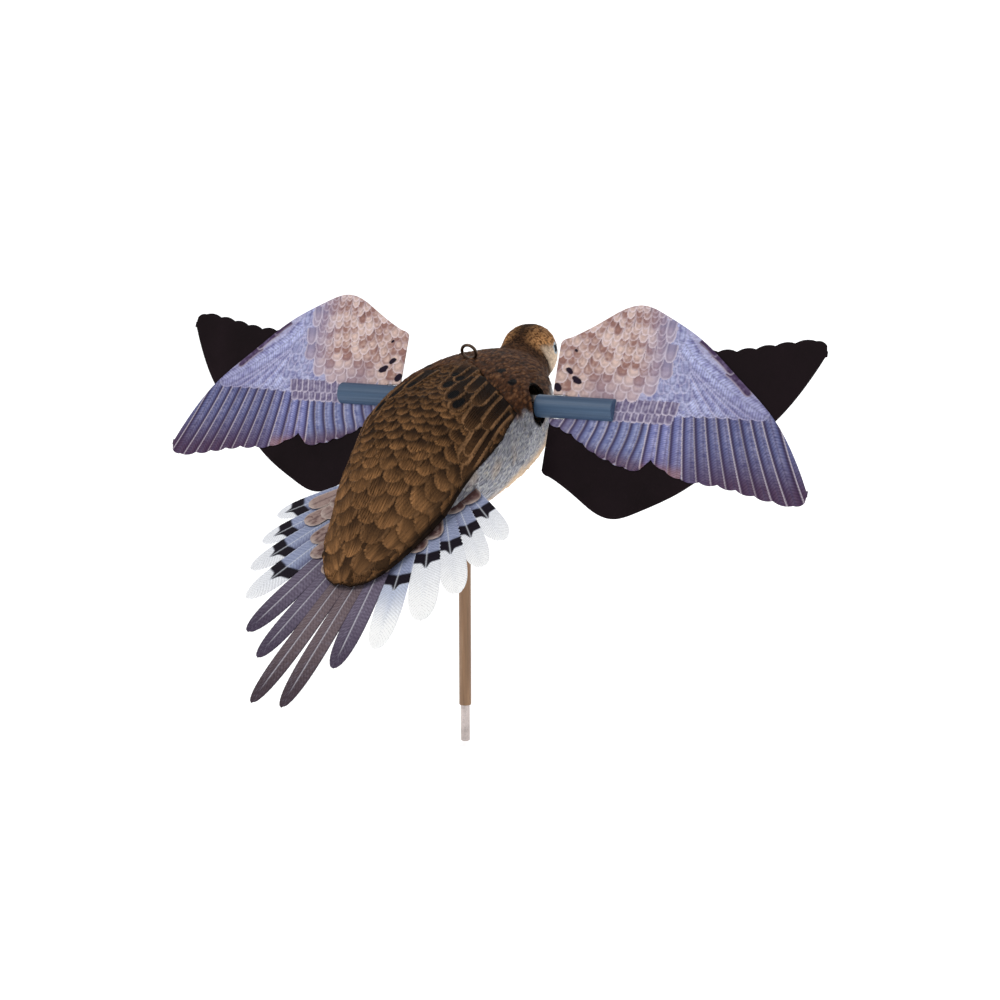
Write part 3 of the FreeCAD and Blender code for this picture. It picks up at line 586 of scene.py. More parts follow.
def paint_body(place, points, v, owner, back, across, edge, feathers):
    """The body's colour: brown above, ochre cheeks, grey and white below with a cream breast."""
    x, y, z = points[..., 0], points[..., 1], points[..., 2]
    chance = of_feather(feathers, owner)[1]
    noise = cloud(y, v, 7.0, 11)
    fine = cloud(y / 3.5, v, 0.9, 12)
    side_z = place[..., 2]
    # brown above; the flank turns grey below a line that climbs rearward to the parting line
    shoulder = np.interp(y, [-80, -40, 0, 15, 34, 60], [-20, -12, -4, 5, 13, 40])
    upper = ease(-4, 4, z - shoulder + 3.0 * noise)
    brown = mix(MANTLE_BROWN, "#20140c", ease(-0.4, 0.8, fine) * 0.85)
    brown = mix(brown, "#8a6242", ease(0.3, 1.0, -fine) * 0.6)
    pale = np.clip(bell(edge - 0.5, 0.6) + 0.5 * (1 - np.abs(across)) ** 3, 0, 1)
    flank = mix(BELLY_GREY, BELLY_WHITE, pale)
    dashes = ease(0.35, 0.75, cloud(y / 2.6, v, 0.8, 16)) * ease(14, 2, z)
    # the first coat darkens each feather towards its root: partly its own colour, partly painted shade where
    # the next feather overlaps it
    flank = coats(
        flank, ("#4a4c58", ease(0.45, 0.9, back) * 0.8),
        ("#bea07a", ease(0.1, 0.9, cloud(y, v, 11.0, 14)) * 0.35), ("#3a3c42", dashes * 0.7),
        ("#e2d8c4", ease(0.45, 0.8, cloud(y / 3.0, v, 0.9, 17)) * 0.45))
    flank = flank * (1 - 0.22 * ease(-10, 6, z))[..., None]
    low = ease(-22, -38, z + 4 * noise)
    flank = mix(flank, CREAM, low * 0.85)
    colour = mix(flank, brown, upper)
    # neck and head: warm brown nape, golden crown side, buff cheeks
    headness = ease(-52, -72, y)
    face = ease(-78, -98, y)
    speckle = cloud(y, v, 0.8, 15)
    nape = mix("#543a28", "#2a1c13", ease(-0.5, 0.6, speckle))
    gold = mix("#d89e68", "#704c30", ease(-0.4, 0.6, speckle))
    buff = mix("#f2dac0", "#d0b49a", ease(-0.4, 0.6, speckle))
    mirrored = np.stack([np.abs(place[..., 0]), place[..., 1], place[..., 2]], -1)
    from_eye = np.linalg.norm(mirrored - EYE_PLACE, axis=-1)
    cheek = ease(17, 11, from_eye) * ease(232, 227, side_z)
    warm = ease(17, 8, np.linalg.norm(mirrored - EYE_PLACE - [-1, 5, 5], axis=-1)) * (1 - cheek)
    head = mix(nape, gold, warm * 0.9)
    head = mix(head, buff, np.maximum(cheek, ease(0, -14, z + 16) * face))
    head = head * (1 - 0.42 * ease(234, 239, side_z))[..., None]
    throat = ease(214, 204, side_z)
    head = mix(head, "#d8b08c", throat * 0.8)
    colour = mix(colour, head, headness)
    # bare blue skin round the eye, and the dark crescent below the ear
    ring = ease(4.6, 3.9, from_eye)
    colour = coats(colour, ("#c4ced4", ring), ("#28282e", ease(3.6, 3.1, from_eye)))
    ear = np.abs(place[..., 1] + 82.3 + 0.505 * (221.3 - side_z))
    crescent = ease(1.1, 0.6, ear + 0.035 * (side_z - 221.3) ** 2)
    colour = mix(colour, "#1a1210", crescent * ease(8, 10, np.abs(x)))
    colour = colour * (1 + 0.10 * noise + 0.08 * (chance - 0.5))[..., None]
    # two dark spots on the shoulder ahead of the cover
    for spot_y, spot_v, length, width in ((2.5, 26.5, 4.6, 2.0), (9.5, 37.5, 4.8, 2.2)):
        oval = ((y - spot_y) / length) ** 2 + ((np.abs(v) - spot_v) / width) ** 2
        colour = mix(colour, "#0e0c0d", ease(1.15, 0.8, oval))
    # the hole's edge is darkened: painted shade in the gap round the hub
    hole = np.hypot(y, z)
    colour = mix(colour, "#120d0b", ease(SOCKET_HOLE_R + 1.4, SOCKET_HOLE_R + 0.2, hole))
    return colour


def build_body():
    """Head, breast and belly as one thin shell, open on top where the cover sits."""
    rows, tail_rows, columns = ((214, 140, 400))
    top_columns = int(columns * TOP_COLUMNS)
    share = np.linspace(0, 1, top_columns)[None, :]
    tail_columns = columns - top_columns + 2
    lower_share = np.linspace(0, 1, tail_columns)[None, 1:-1]

    def split_angle(y):
        return rim_angle(BODY_STATIONS, np.maximum(y, 10)) * ease(-20, 25, y) + 0.5 * (1 - ease(-20, 25, y))

    def angles(y_top, y_low):
        top, low = split_angle(y_top), split_angle(y_low)
        return np.concatenate([top + (math.pi - 2 * top) * share,
                               math.pi - low + (math.pi + 2 * low) * lower_share], 1)

    end = np.full((1, top_columns), 10.0)
    for _ in range(12):
        low = split_angle(end)
        end = front_place(skin(BODY_STATIONS, end, low + (math.pi - 2 * low) * share)) - 0.3
    ends = np.concatenate([end, np.full((1, columns - top_columns), float(end[0, 0]))], 1)
    along = np.linspace(0, 1, rows)[:, None]
    along = along - 0.06 * np.sin(along * math.pi)
    y = HEAD_Y + (ends - HEAD_Y) * along
    hood = skin(BODY_STATIONS, y, angles(y[:, :top_columns], y[:, top_columns:]))
    tail_share = np.linspace(0, 1, tail_columns)[None, :]
    tail_y = np.linspace(float(end[0, 0]), TAIL_END_Y, tail_rows)[1:, None] + 0 * tail_share
    low = split_angle(tail_y) - 0.008
    tail = skin(BODY_STATIONS, tail_y, math.pi - low + (math.pi + 2 * low) * tail_share)

    sections = np.linspace(HEAD_Y, CORNER_Y + 4, 90)[:, None]
    turn = angles(sections + 0 * share, sections + 0 * lower_share)
    level = skin(BODY_STATIONS, sections + 0 * turn, turn)
    closing = np.linalg.norm(level[:, :1] - level[:, -1:], axis=-1)
    girth = np.linalg.norm(np.diff(level, axis=1), axis=-1).sum(1) + closing[:, 0]
    level_v = surface_spread(level, top_columns // 2)
    level_v = np.where(level_v < -girth[:, None] / 2, level_v + girth[:, None], level_v)
    hood_v = spread_at(hood[..., 1], sections[:, 0], level_v)
    corner_v = hood_v[-1, top_columns - 1]
    tail_run = surface_spread(tail, 0)
    middle = tail_run[:, [-1]] / 2
    tail_v = np.where(tail_run > middle, corner_v + tail_run, -(corner_v + tail_run[:, [-1]] - tail_run))

    def girth_at(place):
        return np.interp(place, sections[:, 0], girth / 2)

    feathers = body_feathers(girth_at)
    flat_y = np.concatenate([hood[..., 1].ravel(), tail[..., 1].ravel()])
    flat_v = np.concatenate([hood_v.ravel(), tail_v.ravel()])
    owner, back, across, edge = lay_feathers(flat_y, flat_v, feathers)
    size = np.interp(flat_y, [-100, -70, -30, 0, 80], [0.22, 0.28, 0.4, 0.5, 0.6])
    height = relief(owner, back, across, edge, size) + 0.22 * cloud(flat_y / 3.5, flat_v, 0.9, 12)
    outward = np.concatenate([normals(np.concatenate([hood, hood[:, :1]], 1))[:, :-1].reshape(-1, 3),
                              normals(tail).reshape(-1, 3)])
    base = np.concatenate([hood.reshape(-1, 3), tail.reshape(-1, 3)])
    points = base + outward * height[:, None]
    # the flank holes: what lies inside is dropped, and the edge is drawn onto the circle
    reach = np.hypot(points[:, 1], points[:, 2])
    inside = reach < SOCKET_HOLE_R
    main_faces = grid_faces(rows, columns, closed=True)
    tail_faces = grid_faces(tail_rows - 1, tail_columns) + rows * columns
    last_row = (rows - 1) * columns
    rim_row = np.concatenate([[top_columns - 1], np.arange(top_columns, columns), [0]]) + last_row
    first_tail = np.arange(tail_columns) + rows * columns
    joint = np.stack([rim_row[:-1], rim_row[1:], first_tail[1:], first_tail[:-1]], -1)
    faces = np.concatenate([main_faces, joint, tail_faces])
    faces = faces[~inside[faces].all(1)]
    pull = inside & np.isin(np.arange(len(points)), faces)
    points[pull, 1:] *= (SOCKET_HOLE_R / reach[pull])[:, None]
    place = from_body(points) / MM
    colours = paint_body(place, base, flat_v, owner, back, across, edge, feathers)
    fields = barb_fields(back, across, of_feather(feathers, owner)[1])
    front = points[:columns].mean(0, keepdims=True)
    points = np.concatenate([points, front])
    colours = np.concatenate([colours, colours[:1]])
    fields = np.concatenate([fields, fields[:1]])
    ring = np.arange(columns)
    cap = np.stack([ring, np.roll(ring, -1), np.full(columns, len(points) - 1)], -1)[:, ::-1]
    body = make_piece("body_feathers", from_body(points), [*faces, *cap], body_paint, "body",
                      "body_plastic", colours, fields)
    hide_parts("belly_shell")
    solidify(body, WALL)


body_paint = feathered("body_paint", 0.72, 0.7, 0.5, 700.0, 24.0, 0.0)
build_body()


def build_beak():
    """The slim dark beak: two mandibles along one slightly drooping line, with a soft cere at the base."""
    root, tip = np.array([0, -108.5, 217.0]), np.array([0, -125.6, 206.4])
    rings, sides = 40, 28
    t = np.linspace(0, 1, rings)[:, None]
    turn = np.linspace(0, 2 * math.pi, sides, endpoint=False)[None, :]
    along = tip - root
    along /= np.linalg.norm(along)
    up = np.array([0, -along[2], along[1]])
    up = up if up[2] > 0 else -up
    wide = 3.0 * (1 - t) ** 0.8 + 0.55 + 0.5 * bell(t - 0.16, 0.1)
    wide = wide * np.sqrt(np.clip((1.0 - t) / 0.04, 0.02, 1))
    groove = 1 - 0.16 * bell(np.sin(turn) + 0.12, 0.12) * (np.abs(np.cos(turn)) > 0.5)
    across = np.cos(turn) * wide * 0.85 * groove
    rise = np.sin(turn) * wide * groove
    sag = -0.5 * t**3
    spine = root + (tip - root) * t[..., None]
    points = spine + across[..., None] * np.array([1, 0, 0]) + (rise + sag)[..., None] * up
    horn = moulded("beak_horn", (0.012, 0.010, 0.011), 0.35, 1500.0)
    make_piece("beak", points * MM, grid_faces(rings, sides, closed=True), horn, "body", "body_plastic")


build_beak()


# ---- wings ----

WING_INNER = 56.0
TUBE_SLOT = 66.0
TUBE_HALF = 7.8
SHEET = 1.0


def blade_outline():
    """Places along the right-hand printed sheet with its lower and upper edge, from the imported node."""
    mesh = frame["nodes"]["printed_blade_right"].data
    flat = np.zeros(len(mesh.vertices) * 3)
    mesh.vertices.foreach_get("co", flat)
    local = flat.reshape(-1, 3) / MM - SHAFT
    c, s = math.cos(WING_TILT), math.sin(WING_TILT)
    out, up = np.abs(local[:, 0]), -local[:, 1] * s + local[:, 2] * c
    inside = (out < TUBE_SLOT + 0.5) & (np.abs(up) < TUBE_HALF)
    out, up = out[~inside], up[~inside]
    chord = -(out - WING_INNER) * 0.238
    edges = []
    for chosen in (up < chord, up >= chord):
        order = np.argsort(out[chosen], kind="stable")
        edges.append((out[chosen][order], up[chosen][order]))
    return edges


def wing_feathers():
    """The printed feathers in wing coordinates, the lowest first."""
    feathers = []

    def along(root, tip, width, point, kind, bend=0.0):
        du, dv = tip[0] - root[0], tip[1] - root[1]
        feathers.append((tip[0], tip[1], math.atan2(dv, du), math.hypot(du, dv), width, point, kind, bend))

    # secondaries, then primaries, each over its inner neighbour
    for k in range(-1, 9):
        root = (66 + 7.4 * k, -3)
        tip = (55 + 7.6 * k, -17 - 22.5 * max(k / 8, 0) ** 0.85)
        along(root, tip, 12.5, 0.9, 2, 2.4)
    along((207, 8), (240, -54), 22, 0.7, 1)
    for k in range(11):
        share = k / 10
        root = (131 + 69 * share**1.02, 1 + 3 * share)
        tip = (128 + 101 * share, -42 - 4 * min(share * 4, 1) - 12 * share**1.6)
        along(root, tip, 13.5 - 2.5 * share, 0.7, 1, -1.2 * share)
    # long coverts fanned over the primaries' roots
    for k in range(8):
        share = k / 7
        along((131 + 16 * share, 58 - 22 * share), (140 + 60 * share, -2.0 + 3.5 * share), 12.5, 0.7, 3, -1.5)
    # small feathers over the wrist
    for row in range(13):
        level = 2 + 5.4 * row
        for k in range(7):
            u = 124 + 5.0 * (k + 0.5 * (row % 2)) + rng.uniform(-1.2, 1.2)
            if u < 151 - level * 0.30 + rng.uniform(-2, 2):
                tip = (u + rng.uniform(-1, 1.6), level + rng.uniform(-1.5, 1))
                along((u - 1, level + 10), tip, 6.6, 0.8, 3)
    # the dark false-wing feathers near the leading edge
    for u, v, length in ((187, 14, 22), (174, 27, 19), (162, 38, 15)):
        along((u - length * 0.74, v + length * 0.67), (u, v), 6.0, 0.9, 5, 0.8)
    # two rows of small squarish coverts on the axis
    for row, level in enumerate((-7.2, -1.4)):
        for k in range(9):
            along((101 + 4.6 * k + 2 * row, level + 9), (99.5 + 4.6 * k + 2 * row, level), 5.6, 0.4, 4)
    # tan coverts, smallest by the leading edge
    level, row = 5.0, 0
    while level < 72:
        size = np.interp(level, [5, 30, 66], [9.2, 7.6, 5.0])
        for k in range(int(92 / size)):
            u = 52 + size * 0.92 * (k + 0.5 * (row % 2)) + rng.uniform(-0.9, 0.9)
            limit = np.interp(level, [0, 20, 45, 70], [121, 127, 134, 121]) + rng.uniform(-9, 5)
            if u < limit:
                lean = rng.uniform(-0.8, 1.6)
                along((u + lean, level + size * 1.7), (u - lean, level + rng.uniform(-0.13, 0.13) * size),
                      size * rng.uniform(0.95, 1.2), 0.5 if level < 26 else 0.8, 6)
        level += size * 0.62
        row += 1
    return feathers


# Dark spots by the wing's inner edge: outward place, height, half length, half width.
WING_SPOTS = ((67.5, 37.2, 1.4, 1.0), (65, 23.8, 3.0, 2.0), (71, 17.9, 3.4, 2.4), (58.6, 12.7, 3.0, 2.8))


def paint_wing(u, v, owner, back, across, edge, feathers):
    """The printed wing's colours."""
    kinds, chance = of_feather(feathers, owner, 3)
    tip = 1 - back
    mottle = cloud(u, v, 1.3, 21) * 0.6 + cloud(u, v, 3.1, 22) * 0.4
    vane = 1 - np.abs(across)
    barred = cloud(u / 3.2, v, 0.7, 24)
    blue, lavender, mauve = "#7078a8", "#b8bce0", "#5c384c"
    long_vane = mix("#342e50", blue, ease(0.0, 0.6, vane))
    long_vane = mix(long_vane, lavender, ease(0.45, 0.95, vane) * (0.45 + 0.4 * mottle + 0.4 * barred))
    purple = ease(0.25, 1.0, tip) * ease(110, 190, u) + 0.65 * ease(0.5, 1.0, tip) * (u < 140)
    primary = mix(long_vane, mauve, np.clip(purple, 0, 0.8))
    secondary = mix(long_vane, "#4a344e", ease(0.55, 0.98, tip) * 0.8)
    secondary = mix(secondary, "#705c74", ease(86, 62, u) * 0.6)
    pale = ease(-0.8, 0.9, 0.7 * mottle + 0.4 * barred + 0.5 * vane - 0.2)
    covert = mix("#7c7cac", "#c0c4e8", pale)
    covert = mix(covert, "#706a92", ease(150, 195, u) * 0.5)
    squarish = mix("#7a7092", "#a8a0ba", ease(-0.5, 0.7, mottle))
    dark = mix("#483654", "#706282", ease(-0.3, 0.9, mottle))
    tan = mix("#9e766c", "#e2c6bc", ease(-0.7, 0.7, 0.6 * mottle + 1.4 * chance - 0.7))
    tan = coats(
        tan, ("#624442", ease(0.25, 0.8, back) * 0.8),
        ("#9694b8", ease(106, 132, u + 4 * mottle) * 0.7),
        ("#aa9aac", ease(30, 8, v) * ease(66, 90, u) * 0.6))
    colour = covert.copy()
    outward = np.interp(u, [136, 158, 235], [1.0, 0.62, 0.56])[..., None]
    primary = primary * outward * (1, 0.94, 1)
    secondary = mix(secondary * 0.88, "#684e5c", ease(0.6, 0.95, tip) * ease(-20, -32, v) * 0.6)
    for kind, shade in ((1, primary), (2, secondary), (3, covert), (4, squarish), (5, dark), (6, tan)):
        colour = np.where((kinds == kind)[..., None], shade, colour)
    rim = bell(edge - 0.3, 0.55)
    strength = np.choose(kinds, [0, 0.75, 0.8, 0.42, 0.8, 0.5, 0.65])
    colour = mix(colour, "#dcd2e0", rim * strength * (0.4 + 0.6 * chance))
    under = bell(edge - 1.7, 0.8)
    colour = mix(colour, "#382a46", under * np.choose(kinds, [0, 0.65, 0.6, 0.32, 0.45, 0.3, 0.22]))
    shaft = bell(across, 0.10) * (kinds < 6)
    colour = coats(
        colour, ("#403858", shaft * np.choose(kinds, [0, 0.5, 0.45, 0.3, 0.1, 0.4, 0])),
        ("#96706c", ((kinds == 1) & (u < 150)) * ease(-30, -38, v) * 0.6))
    for spot_u, spot_v, half_u, half_v in WING_SPOTS:
        ragged = 0.25 * cloud(u, v, 1.5, 23)
        oval = ((u - spot_u) / half_u) ** 2 + ((v - spot_v + 0.35 * (u - spot_u)) / half_v) ** 2 + ragged
        colour = mix(colour, "#241a28", ease(1.15, 0.8, oval))
    return colour


def build_wings():
    """Both wings: a printed sheet and a black one back to back on each, clear of the tube's slot."""
    (low_u, low_v), (high_u, high_v) = blade_outline()
    columns, rows = ((330, 190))
    reach = max(low_u.max(), high_u.max()) - 0.05
    u = WING_INNER + (reach - WING_INNER) * np.linspace(0, 1, columns)[None, :] ** 0.98
    low, high = np.interp(u, low_u, low_v), np.interp(u, high_u, high_v)
    v = low + (high - low) * np.linspace(0, 1, rows)[:, None]
    u = u + 0 * v
    feathers = wing_feathers()
    owner, back, across, edge = lay_feathers(u, v, feathers)
    colours = paint_wing(u, v, owner, back, across, edge, feathers)
    fields = barb_fields(back, across, of_feather(feathers, owner)[1])
    height = relief(owner, back, across, edge, 0.16)
    border = np.minimum(np.minimum(high - v, v - low), reach - u + 0.3)
    height = height * ease(0.2, 1.5, border)
    faces = grid_faces(rows, columns)
    middle_u, middle_v = u.ravel()[faces].mean(1), v.ravel()[faces].mean(1)
    faces = faces[~((middle_u < TUBE_SLOT) & (np.abs(middle_v) < TUBE_HALF))]
    for side, label in ((1, "left"), (-1, "right")):
        for half, blade, flip, relief_share, looks, paint in (
                ("printed", "printed", 1, 1, ([wing_front, wing_back], "wing_print"), (colours, fields)),
                ("black", "counter", -1, 0.3, ([wing_back], "wing_black"), ())):
            local = np.stack([side * u, flip * (SHEET - 0.2 + height * relief_share), flip * v], -1)
            (materials, slot), body = looks, f"wing_{label}"
            sheet = make_piece(f"{half}_wing_{label}", turned(local, WING_TILT, SHAFT), faces[:, ::-side],
                               materials, body, slot, *paint)
            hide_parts(f"{blade}_blade_{label}")
            solidify(sheet, SHEET - 0.25).modifiers["wall"].material_offset = len(materials) - 1


def black_sheet():
    """Matt black plastic sheet with a slight drift of dust and a fine orange-peel skin."""
    m = Nodes("black_sheet", 0.66, Specular_IOR_Level=0.06)
    place = m.object_place()
    broad = m.noise(place, 28.0, 4.0, 0.6)
    fine = m.noise(place, 1400.0, 2.0)
    m.to("Base Color", m.ramp(broad, [(0.3, "#120a0d"), (0.7, "#1c1317")]))
    m.to("Roughness", m.ramp(broad, [(0.3, 0.55), (0.7, 0.72)]))
    m.bump(fine, 0.18, 0.0002)
    return m.material


wing_front = feathered("wing_print", 0.55, 0.55, 0.2, 1500.0, 0.0, 200.0)
wing_back = black_sheet()
build_wings()


# ---- tail ----

# Half of the fan, from the middle: angle in degrees, length, width at the tip.
TAIL_FEATHERS = ((2.5, 225, 15.5), (7.5, 193, 17), (14, 178, 19), (22, 158, 21), (30, 141, 19.5),
                 (38, 124, 18), (47.5, 108, 18))
TAIL_ROOT = -30.0
TAIL_SHEET = 1.2
BRIGHT_WHITE = linear("#ffffff") * 1.12
# Where each feather's black band ends, in mm from its root, on the dove's left and right.
BAND_PLACES = {1: {3: 134, 4: 122, 5: 111, 6: 98}, -1: {2: 125, 3: 108, 4: 100, 5: 90, 6: 79}}


def tail_colour(rank, side, t, s, length, chance):
    """One tail feather's colour along t from its root and s across from -1 to 1."""
    along = t * length
    mottle = cloud(along, s * 9 + rank * 40, 1.1, 31)
    bars = 0.5 + 0.5 * np.sin(along * 2.3 + 2.2 * cloud(along, s * 9 + rank * 31, 5.0, 32) - 4.5 * np.abs(s))
    slate = mix("#7c7286", "#50465a", bars * 0.6)
    blue = mix("#a4acca", "#7680a4", bars * 0.45)
    if rank == 0:
        colour = mix("#807074", "#54464e", bars * 0.55)
        colour = mix(colour, "#3c303a", ease(0.7, 1.0, t) * 0.8)
    else:
        colour = mix(slate, "#3e3246", ease(0.72, 1.0, t) * 0.75)
    if rank in BAND_PLACES[side]:
        pointed = bell(s, 0.22)
        place = BAND_PLACES[side][rank] - 1.5 * s**2
        start, band = place - 9.0 + 1.0 * pointed, place + 5.0 * pointed
        dark = ease(start - 0.8, start + 0.8, along) * ease(band + 0.6, band - 0.6, along)
        white = ease(band - 0.6, band + 0.8, along)
        colour = coats(
            blue, ("#525074", ease(0.1, 1.0, -s * side) * 0.75),
            ("#d0d6e8", ease(0.86, 0.97, np.abs(s)) * 0.7), ("#1e1922", dark),
            ("#e2e6f0", bell(s, 0.045) * (1 - white) * 0.7), (BRIGHT_WHITE, white))
        faded = white * ease(band + 40, band, along) * (0.7 if rank == 2 else 0.25)
        return mix(colour, "#96a6cc", faded) * (0.97 + 0.06 * chance)
    colour = coats(
        colour, ("#b0aec4", ease(0.2, 0.9, mottle) * 0.16),
        ("#d8d6e0", bell(s, 0.05) * ease(0.97, 0.9, t) * 0.85),
        ("#423a4e", bell(s - 0.14, 0.08) * 0.3),
        ("#3a3244", ease(0.9, 1.0, np.abs(s)) * (0.5 if rank < 3 else 0.3)))
    return colour * (0.94 + 0.12 * chance)


def on_fan(x, y, z, turn):
    """Points of one feather that is turned about the fan's root, in metres in the part's frame."""
    c, s = math.cos(turn), math.sin(turn)
    return turned(np.stack([x * c - y * s, TAIL_ROOT + x * s + y * c, z], -1), TAIL_TILT, TAIL_ORIGIN)


def leaf_grid(rows, columns):
    """Places on a feather: the share of the way from its root, and across it from -1 to 1."""
    return np.meshgrid(np.linspace(0, 1, rows), np.linspace(-1, 1, columns), indexing="ij")


def build_tail():
    """The printed fan: fourteen overlapping feathers, the middle pair uppermost."""
    rows, columns = ((230, 31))
    for rank, (angle, length, width) in enumerate(TAIL_FEATHERS):
        for side, label in ((1, "left"), (-1, "right")):
            t, s = leaf_grid(rows, columns)
            straight = 1 - width / 2 / length
            taper = np.clip((t - 0.66) / 0.34, 0, 1)
            half = np.minimum(3 + (width / 2 - 3) * t / straight, width / 2) * np.sqrt(1.0004 - taper**3.2)
            along = t * (length - 0.6)
            chance = rng.uniform()
            top = TAIL_SHEET / 2 + 0.45 - 0.16 * rank + 0.03 * (side > 0)
            barbs = 0.06 * np.sin(along * 1.9 + 6 * np.abs(s)) * (np.abs(s) > 0.06)
            lift = 0.38 * (1 - s**2) + 0.22 * bell(s, 0.06) + barbs
            points = on_fan(s * half, along, top - 0.4 + lift, math.radians(-angle * side))
            colours = tail_colour(rank, side, t, s, length, chance)
            feather = make_piece(
                f"tail_feather_{rank + 1}_{label}", points, grid_faces(rows, columns), tail_print,
                "body", "fan_sheet", colours, barb_fields(1 - t, s, chance))
            solidify(feather, 0.7)
    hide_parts("tail_fan")


# How far the coverts reach from the fan's root, from the dove's right side (negative angles) to its left.
COVERT_ANGLES = (-52, -37, -27, -17, -13, -6, 9, 21, 36, 52)
COVERT_SPREAD = 52
COVERT_ROWS = 5
COVERTS_IN_ROW = 12
COVERT_TIPS = (60, 66, 85, 101, 112, 119, 122, 106, 94, 76)


def build_tail_coverts():
    """Brown and tan feathers laid over the fan's root, under the cover's rear end."""
    rows, columns = ((26, 17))
    points, colours, fields, faces = [], [], [], []
    for row in range(COVERT_ROWS):
        for k in range(COVERTS_IN_ROW + 1):
            angle = -COVERT_SPREAD + 2 * COVERT_SPREAD * (k + 0.5 * (row % 2)) / COVERTS_IN_ROW
            if not -44 < angle < 47:
                continue
            radius = np.interp(angle, COVERT_ANGLES, COVERT_TIPS) - 12.5 * row + rng.uniform(-2, 2)
            length, width = rng.uniform(24, 30), rng.uniform(13, 16.5)
            t, s = leaf_grid(rows, columns)
            tip = np.clip((t - 0.68) / 0.32, 0, 1)
            half = width / 2 * np.sqrt(np.maximum(1 - tip**2, 0.001)) * (0.7 + 0.3 * t)
            top = TAIL_SHEET / 2 + 0.75 + 0.13 * row + 0.5 * t * (1 - 0.5 * s**2)
            x, y = s * half, radius - length * (1 - t)
            turn = math.radians(-angle + rng.uniform(-3, 3))
            mottle = cloud(x + 31 * k, y + 17 * row, 1.4, 41)
            # lightness drifts at random, and the coverts on the dove's left, towards the key light, are
            # painted lighter: painted light
            light = ease(-0.7, 0.8, mottle + rng.uniform(-0.4, 0.4) + 0.55 * np.sign(angle))
            shade = mix("#604442", "#ac948e", light)
            shade = mix(shade, "#503a3e", bell(s, 0.1) * 0.6)
            border = np.maximum(ease(0.84, 1.0, t), ease(0.78, 1.0, np.abs(s)))
            shade = mix(shade, "#d6c6be", border * 0.65)
            faces.append(grid_faces(rows, columns) + sum(len(p) for p in points))
            points.append(on_fan(x, y, top, turn).reshape(-1, 3))
            colours.append(shade.reshape(-1, 3))
            fields.append(barb_fields(1 - t, s, rng.uniform()).reshape(-1, 3))
    points, faces, colours, fields = map(np.concatenate, (points, faces, colours, fields))
    coverts = make_piece("tail_coverts", points, faces, tail_print, "body", "fan_sheet", colours, fields)
    solidify(coverts, 0.12)


tail_print = feathered("tail_print", 0.6, 0.16, 0.15, 1500.0, 0.0, 420.0)
build_tail()
build_tail_coverts()


# ---- fittings that keep their CAD meshes ----

def painted_pole():
    """Satin brown enamel on a steel tube, a little rubbed."""
    m = Nodes("pole_paint", 0.38)
    place = m.object_place()
    rub = m.drawn(place, (300.0, 300.0, 18.0), 4.0)
    m.to("Base Color", m.ramp(rub, [(0.3, "#78583c"), (0.62, "#967252"), (0.8, "#ac8c6e")]))
    m.to("Roughness", m.ramp(rub, [(0.3, 0.32), (0.75, 0.5)]))
    m.bump(m.noise(place, 900.0), 0.1, 0.0002)
    return m.material


def tube_plastic():
    """The wing roots' blue-grey plastic tube, with faint drawn lines along it."""
    m = Nodes("tube_blue", 0.48)
    place = m.object_place()
    lines = m.drawn(place, (12.0, 900.0, 900.0))
    grain = m.noise(place, 1600.0, 3.0, 0.6)
    m.to("Base Color", m.ramp(lines, [(0.3, "#344c68"), (0.7, "#465e7a")]))
    m.to("Roughness", m.ramp(grain, [(0.3, 0.42), (0.7, 0.58)]))
    m.bump(grain, 0.25, 0.0002)
    return m.material


def glossy_eye():
    m = Nodes("eye_gloss", 0.06, Coat_Weight=1.0)
    swirl = m.noise(m.object_place(), 900.0, 2.0)
    m.to("Base Color", m.ramp(swirl, [(0.3, "#080708"), (0.8, "#1a120e")]))
    return m.material


FINISHES = {
    "pole_steel": painted_pole(),
    "eye_gloss": glossy_eye(),
    "tube_blue": tube_plastic(),
    "body_plastic": body_paint,
    "cover_plastic": cover_paint,
    "fan_sheet": tail_print,
    "wing_print": wing_front,
    "wing_black": wing_back,
}
MOULDED = {"inner_plastic": ((0.035, 0.035, 0.038), 0.55), "end_bell_plastic": ((0.62, 0.60, 0.54), 0.5),
           "cell_wrap": ((0.02, 0.05, 0.03), 0.3), "lead_red": ((0.50, 0.02, 0.02), 0.4),
           "lead_black": ((0.015, 0.015, 0.016), 0.4)}
METALS = {"bright_steel": ((0.56, 0.49, 0.47), 0.28), "magnet": ((0.22, 0.21, 0.21), 0.45),
          "nickel": ((0.66, 0.63, 0.58), 0.2), "bronze": ((0.42, 0.24, 0.09), 0.35),
          "copper": ((0.70, 0.30, 0.15), 0.3)}
for finish, table in ((moulded, MOULDED), (metal, METALS)):
    FINISHES.update({slot: finish(slot, *look) for slot, look in table.items()})
RING_METAL = metal("ring_metal", (0.13, 0.085, 0.06), 0.34, stain=0.5)

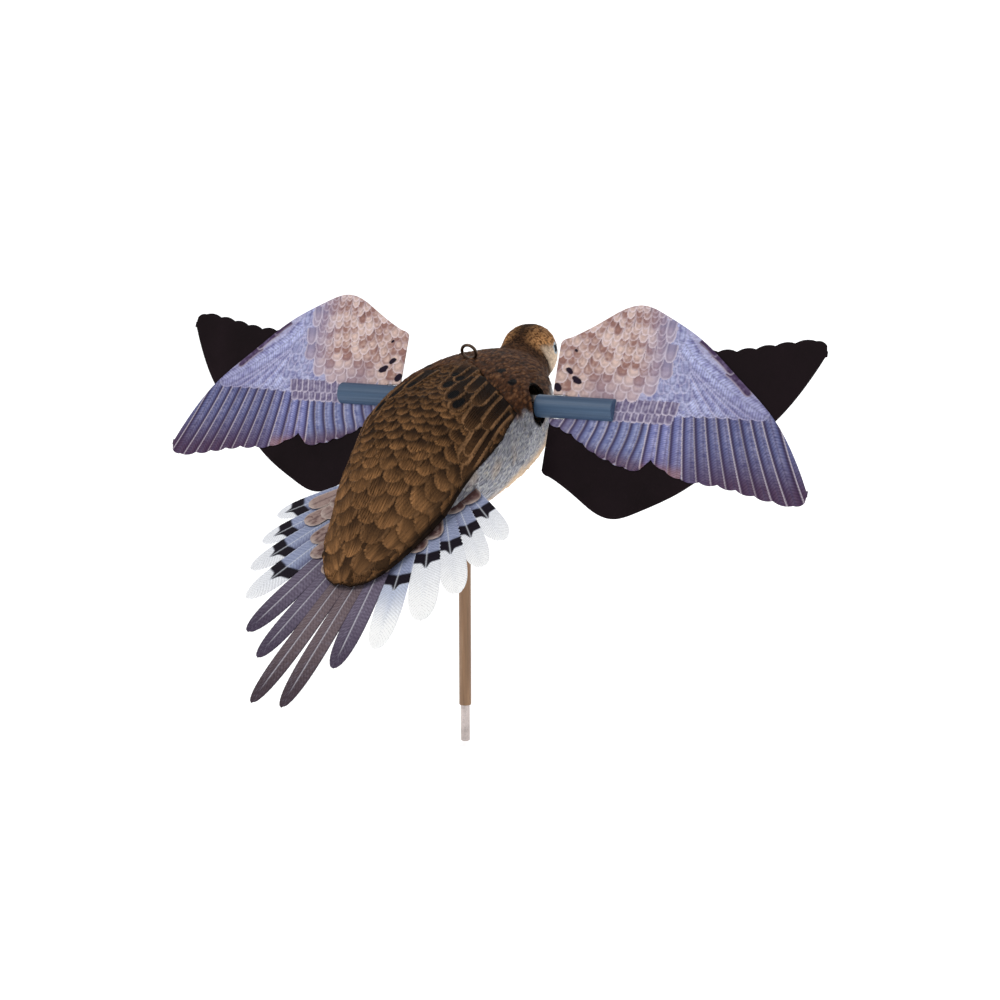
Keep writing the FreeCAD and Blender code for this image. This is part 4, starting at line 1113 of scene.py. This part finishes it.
for entry in frame["record"]["subparts"]:
    node = frame["nodes"][entry["node"]]
    node.data.materials.clear()
    slot = FINISHES[entry["material_slot"]]
    node.data.materials.append(RING_METAL if entry["node"] == "hang_ring" else slot)


# ---- stage and light ----

FLOOR_Z = -0.027
LIGHT_AIM = (0, 0, 0.19)


def set_stage():
    """A pale floor that sweeps up into a backdrop, under soft studio lights."""
    depth = np.array([2.2, 1.4, 0.6, -0.3, -1.2, -1.8, -2.3, -2.6, -2.7, -2.7])
    level = FLOOR_Z + np.array([0, 0, 0, 0, 0, 0.04, 0.25, 0.7, 1.4, 3.2])
    across = np.linspace(-3.4, 3.4, 18) + 0 * depth[:, None]
    points = np.stack([across, depth[:, None] + 0 * across, level[:, None] + 0 * across], -1)
    mesh = smooth_mesh("studio_floor", points, grid_faces(*across.shape))
    floor = new_object("studio_floor", mesh)
    m = Nodes("studio_paper", 0.9, Emission_Color=(1, 1, 1, 1), Emission_Strength=0.5)
    m.to("Base Color", m.ramp(m.noise(m.place(), 3.0), [(0.3, 0.86), (0.7, 0.9)]))
    mesh.materials.append(m.material)
    world = bpy.data.worlds.new("studio")
    bpy.context.scene.world = world
    world.use_nodes = True
    world.node_tree.nodes["Background"].inputs["Color"].default_value = (0.96, 0.98, 1.0, 1)
    world.node_tree.nodes["Background"].inputs["Strength"].default_value = 0.5
    for name, place, size, power, colour in (
            ("key", (0.5, 1.3, 1.7), 0.9, 15, (1, 0.97, 0.93)),
            ("fill", (-1.5, 0.7, 0.7), 1.2, 3, (0.92, 0.96, 1)),
            ("back", (0.2, -1.6, 1.5), 1.4, 7, (1, 1, 1))):
        lamp = bpy.data.lights.new(name, "AREA")
        lamp.size = size
        lamp.energy = power
        lamp.color = colour
        light = new_object(name, lamp)
        light.location = place
        x, y, z = np.array(LIGHT_AIM) - np.array(place)
        light.rotation_euler = (math.atan2(math.hypot(x, y), -z), 0, math.atan2(-x, y))
    bpy.context.scene.view_settings.view_transform = "Standard"


set_stage()
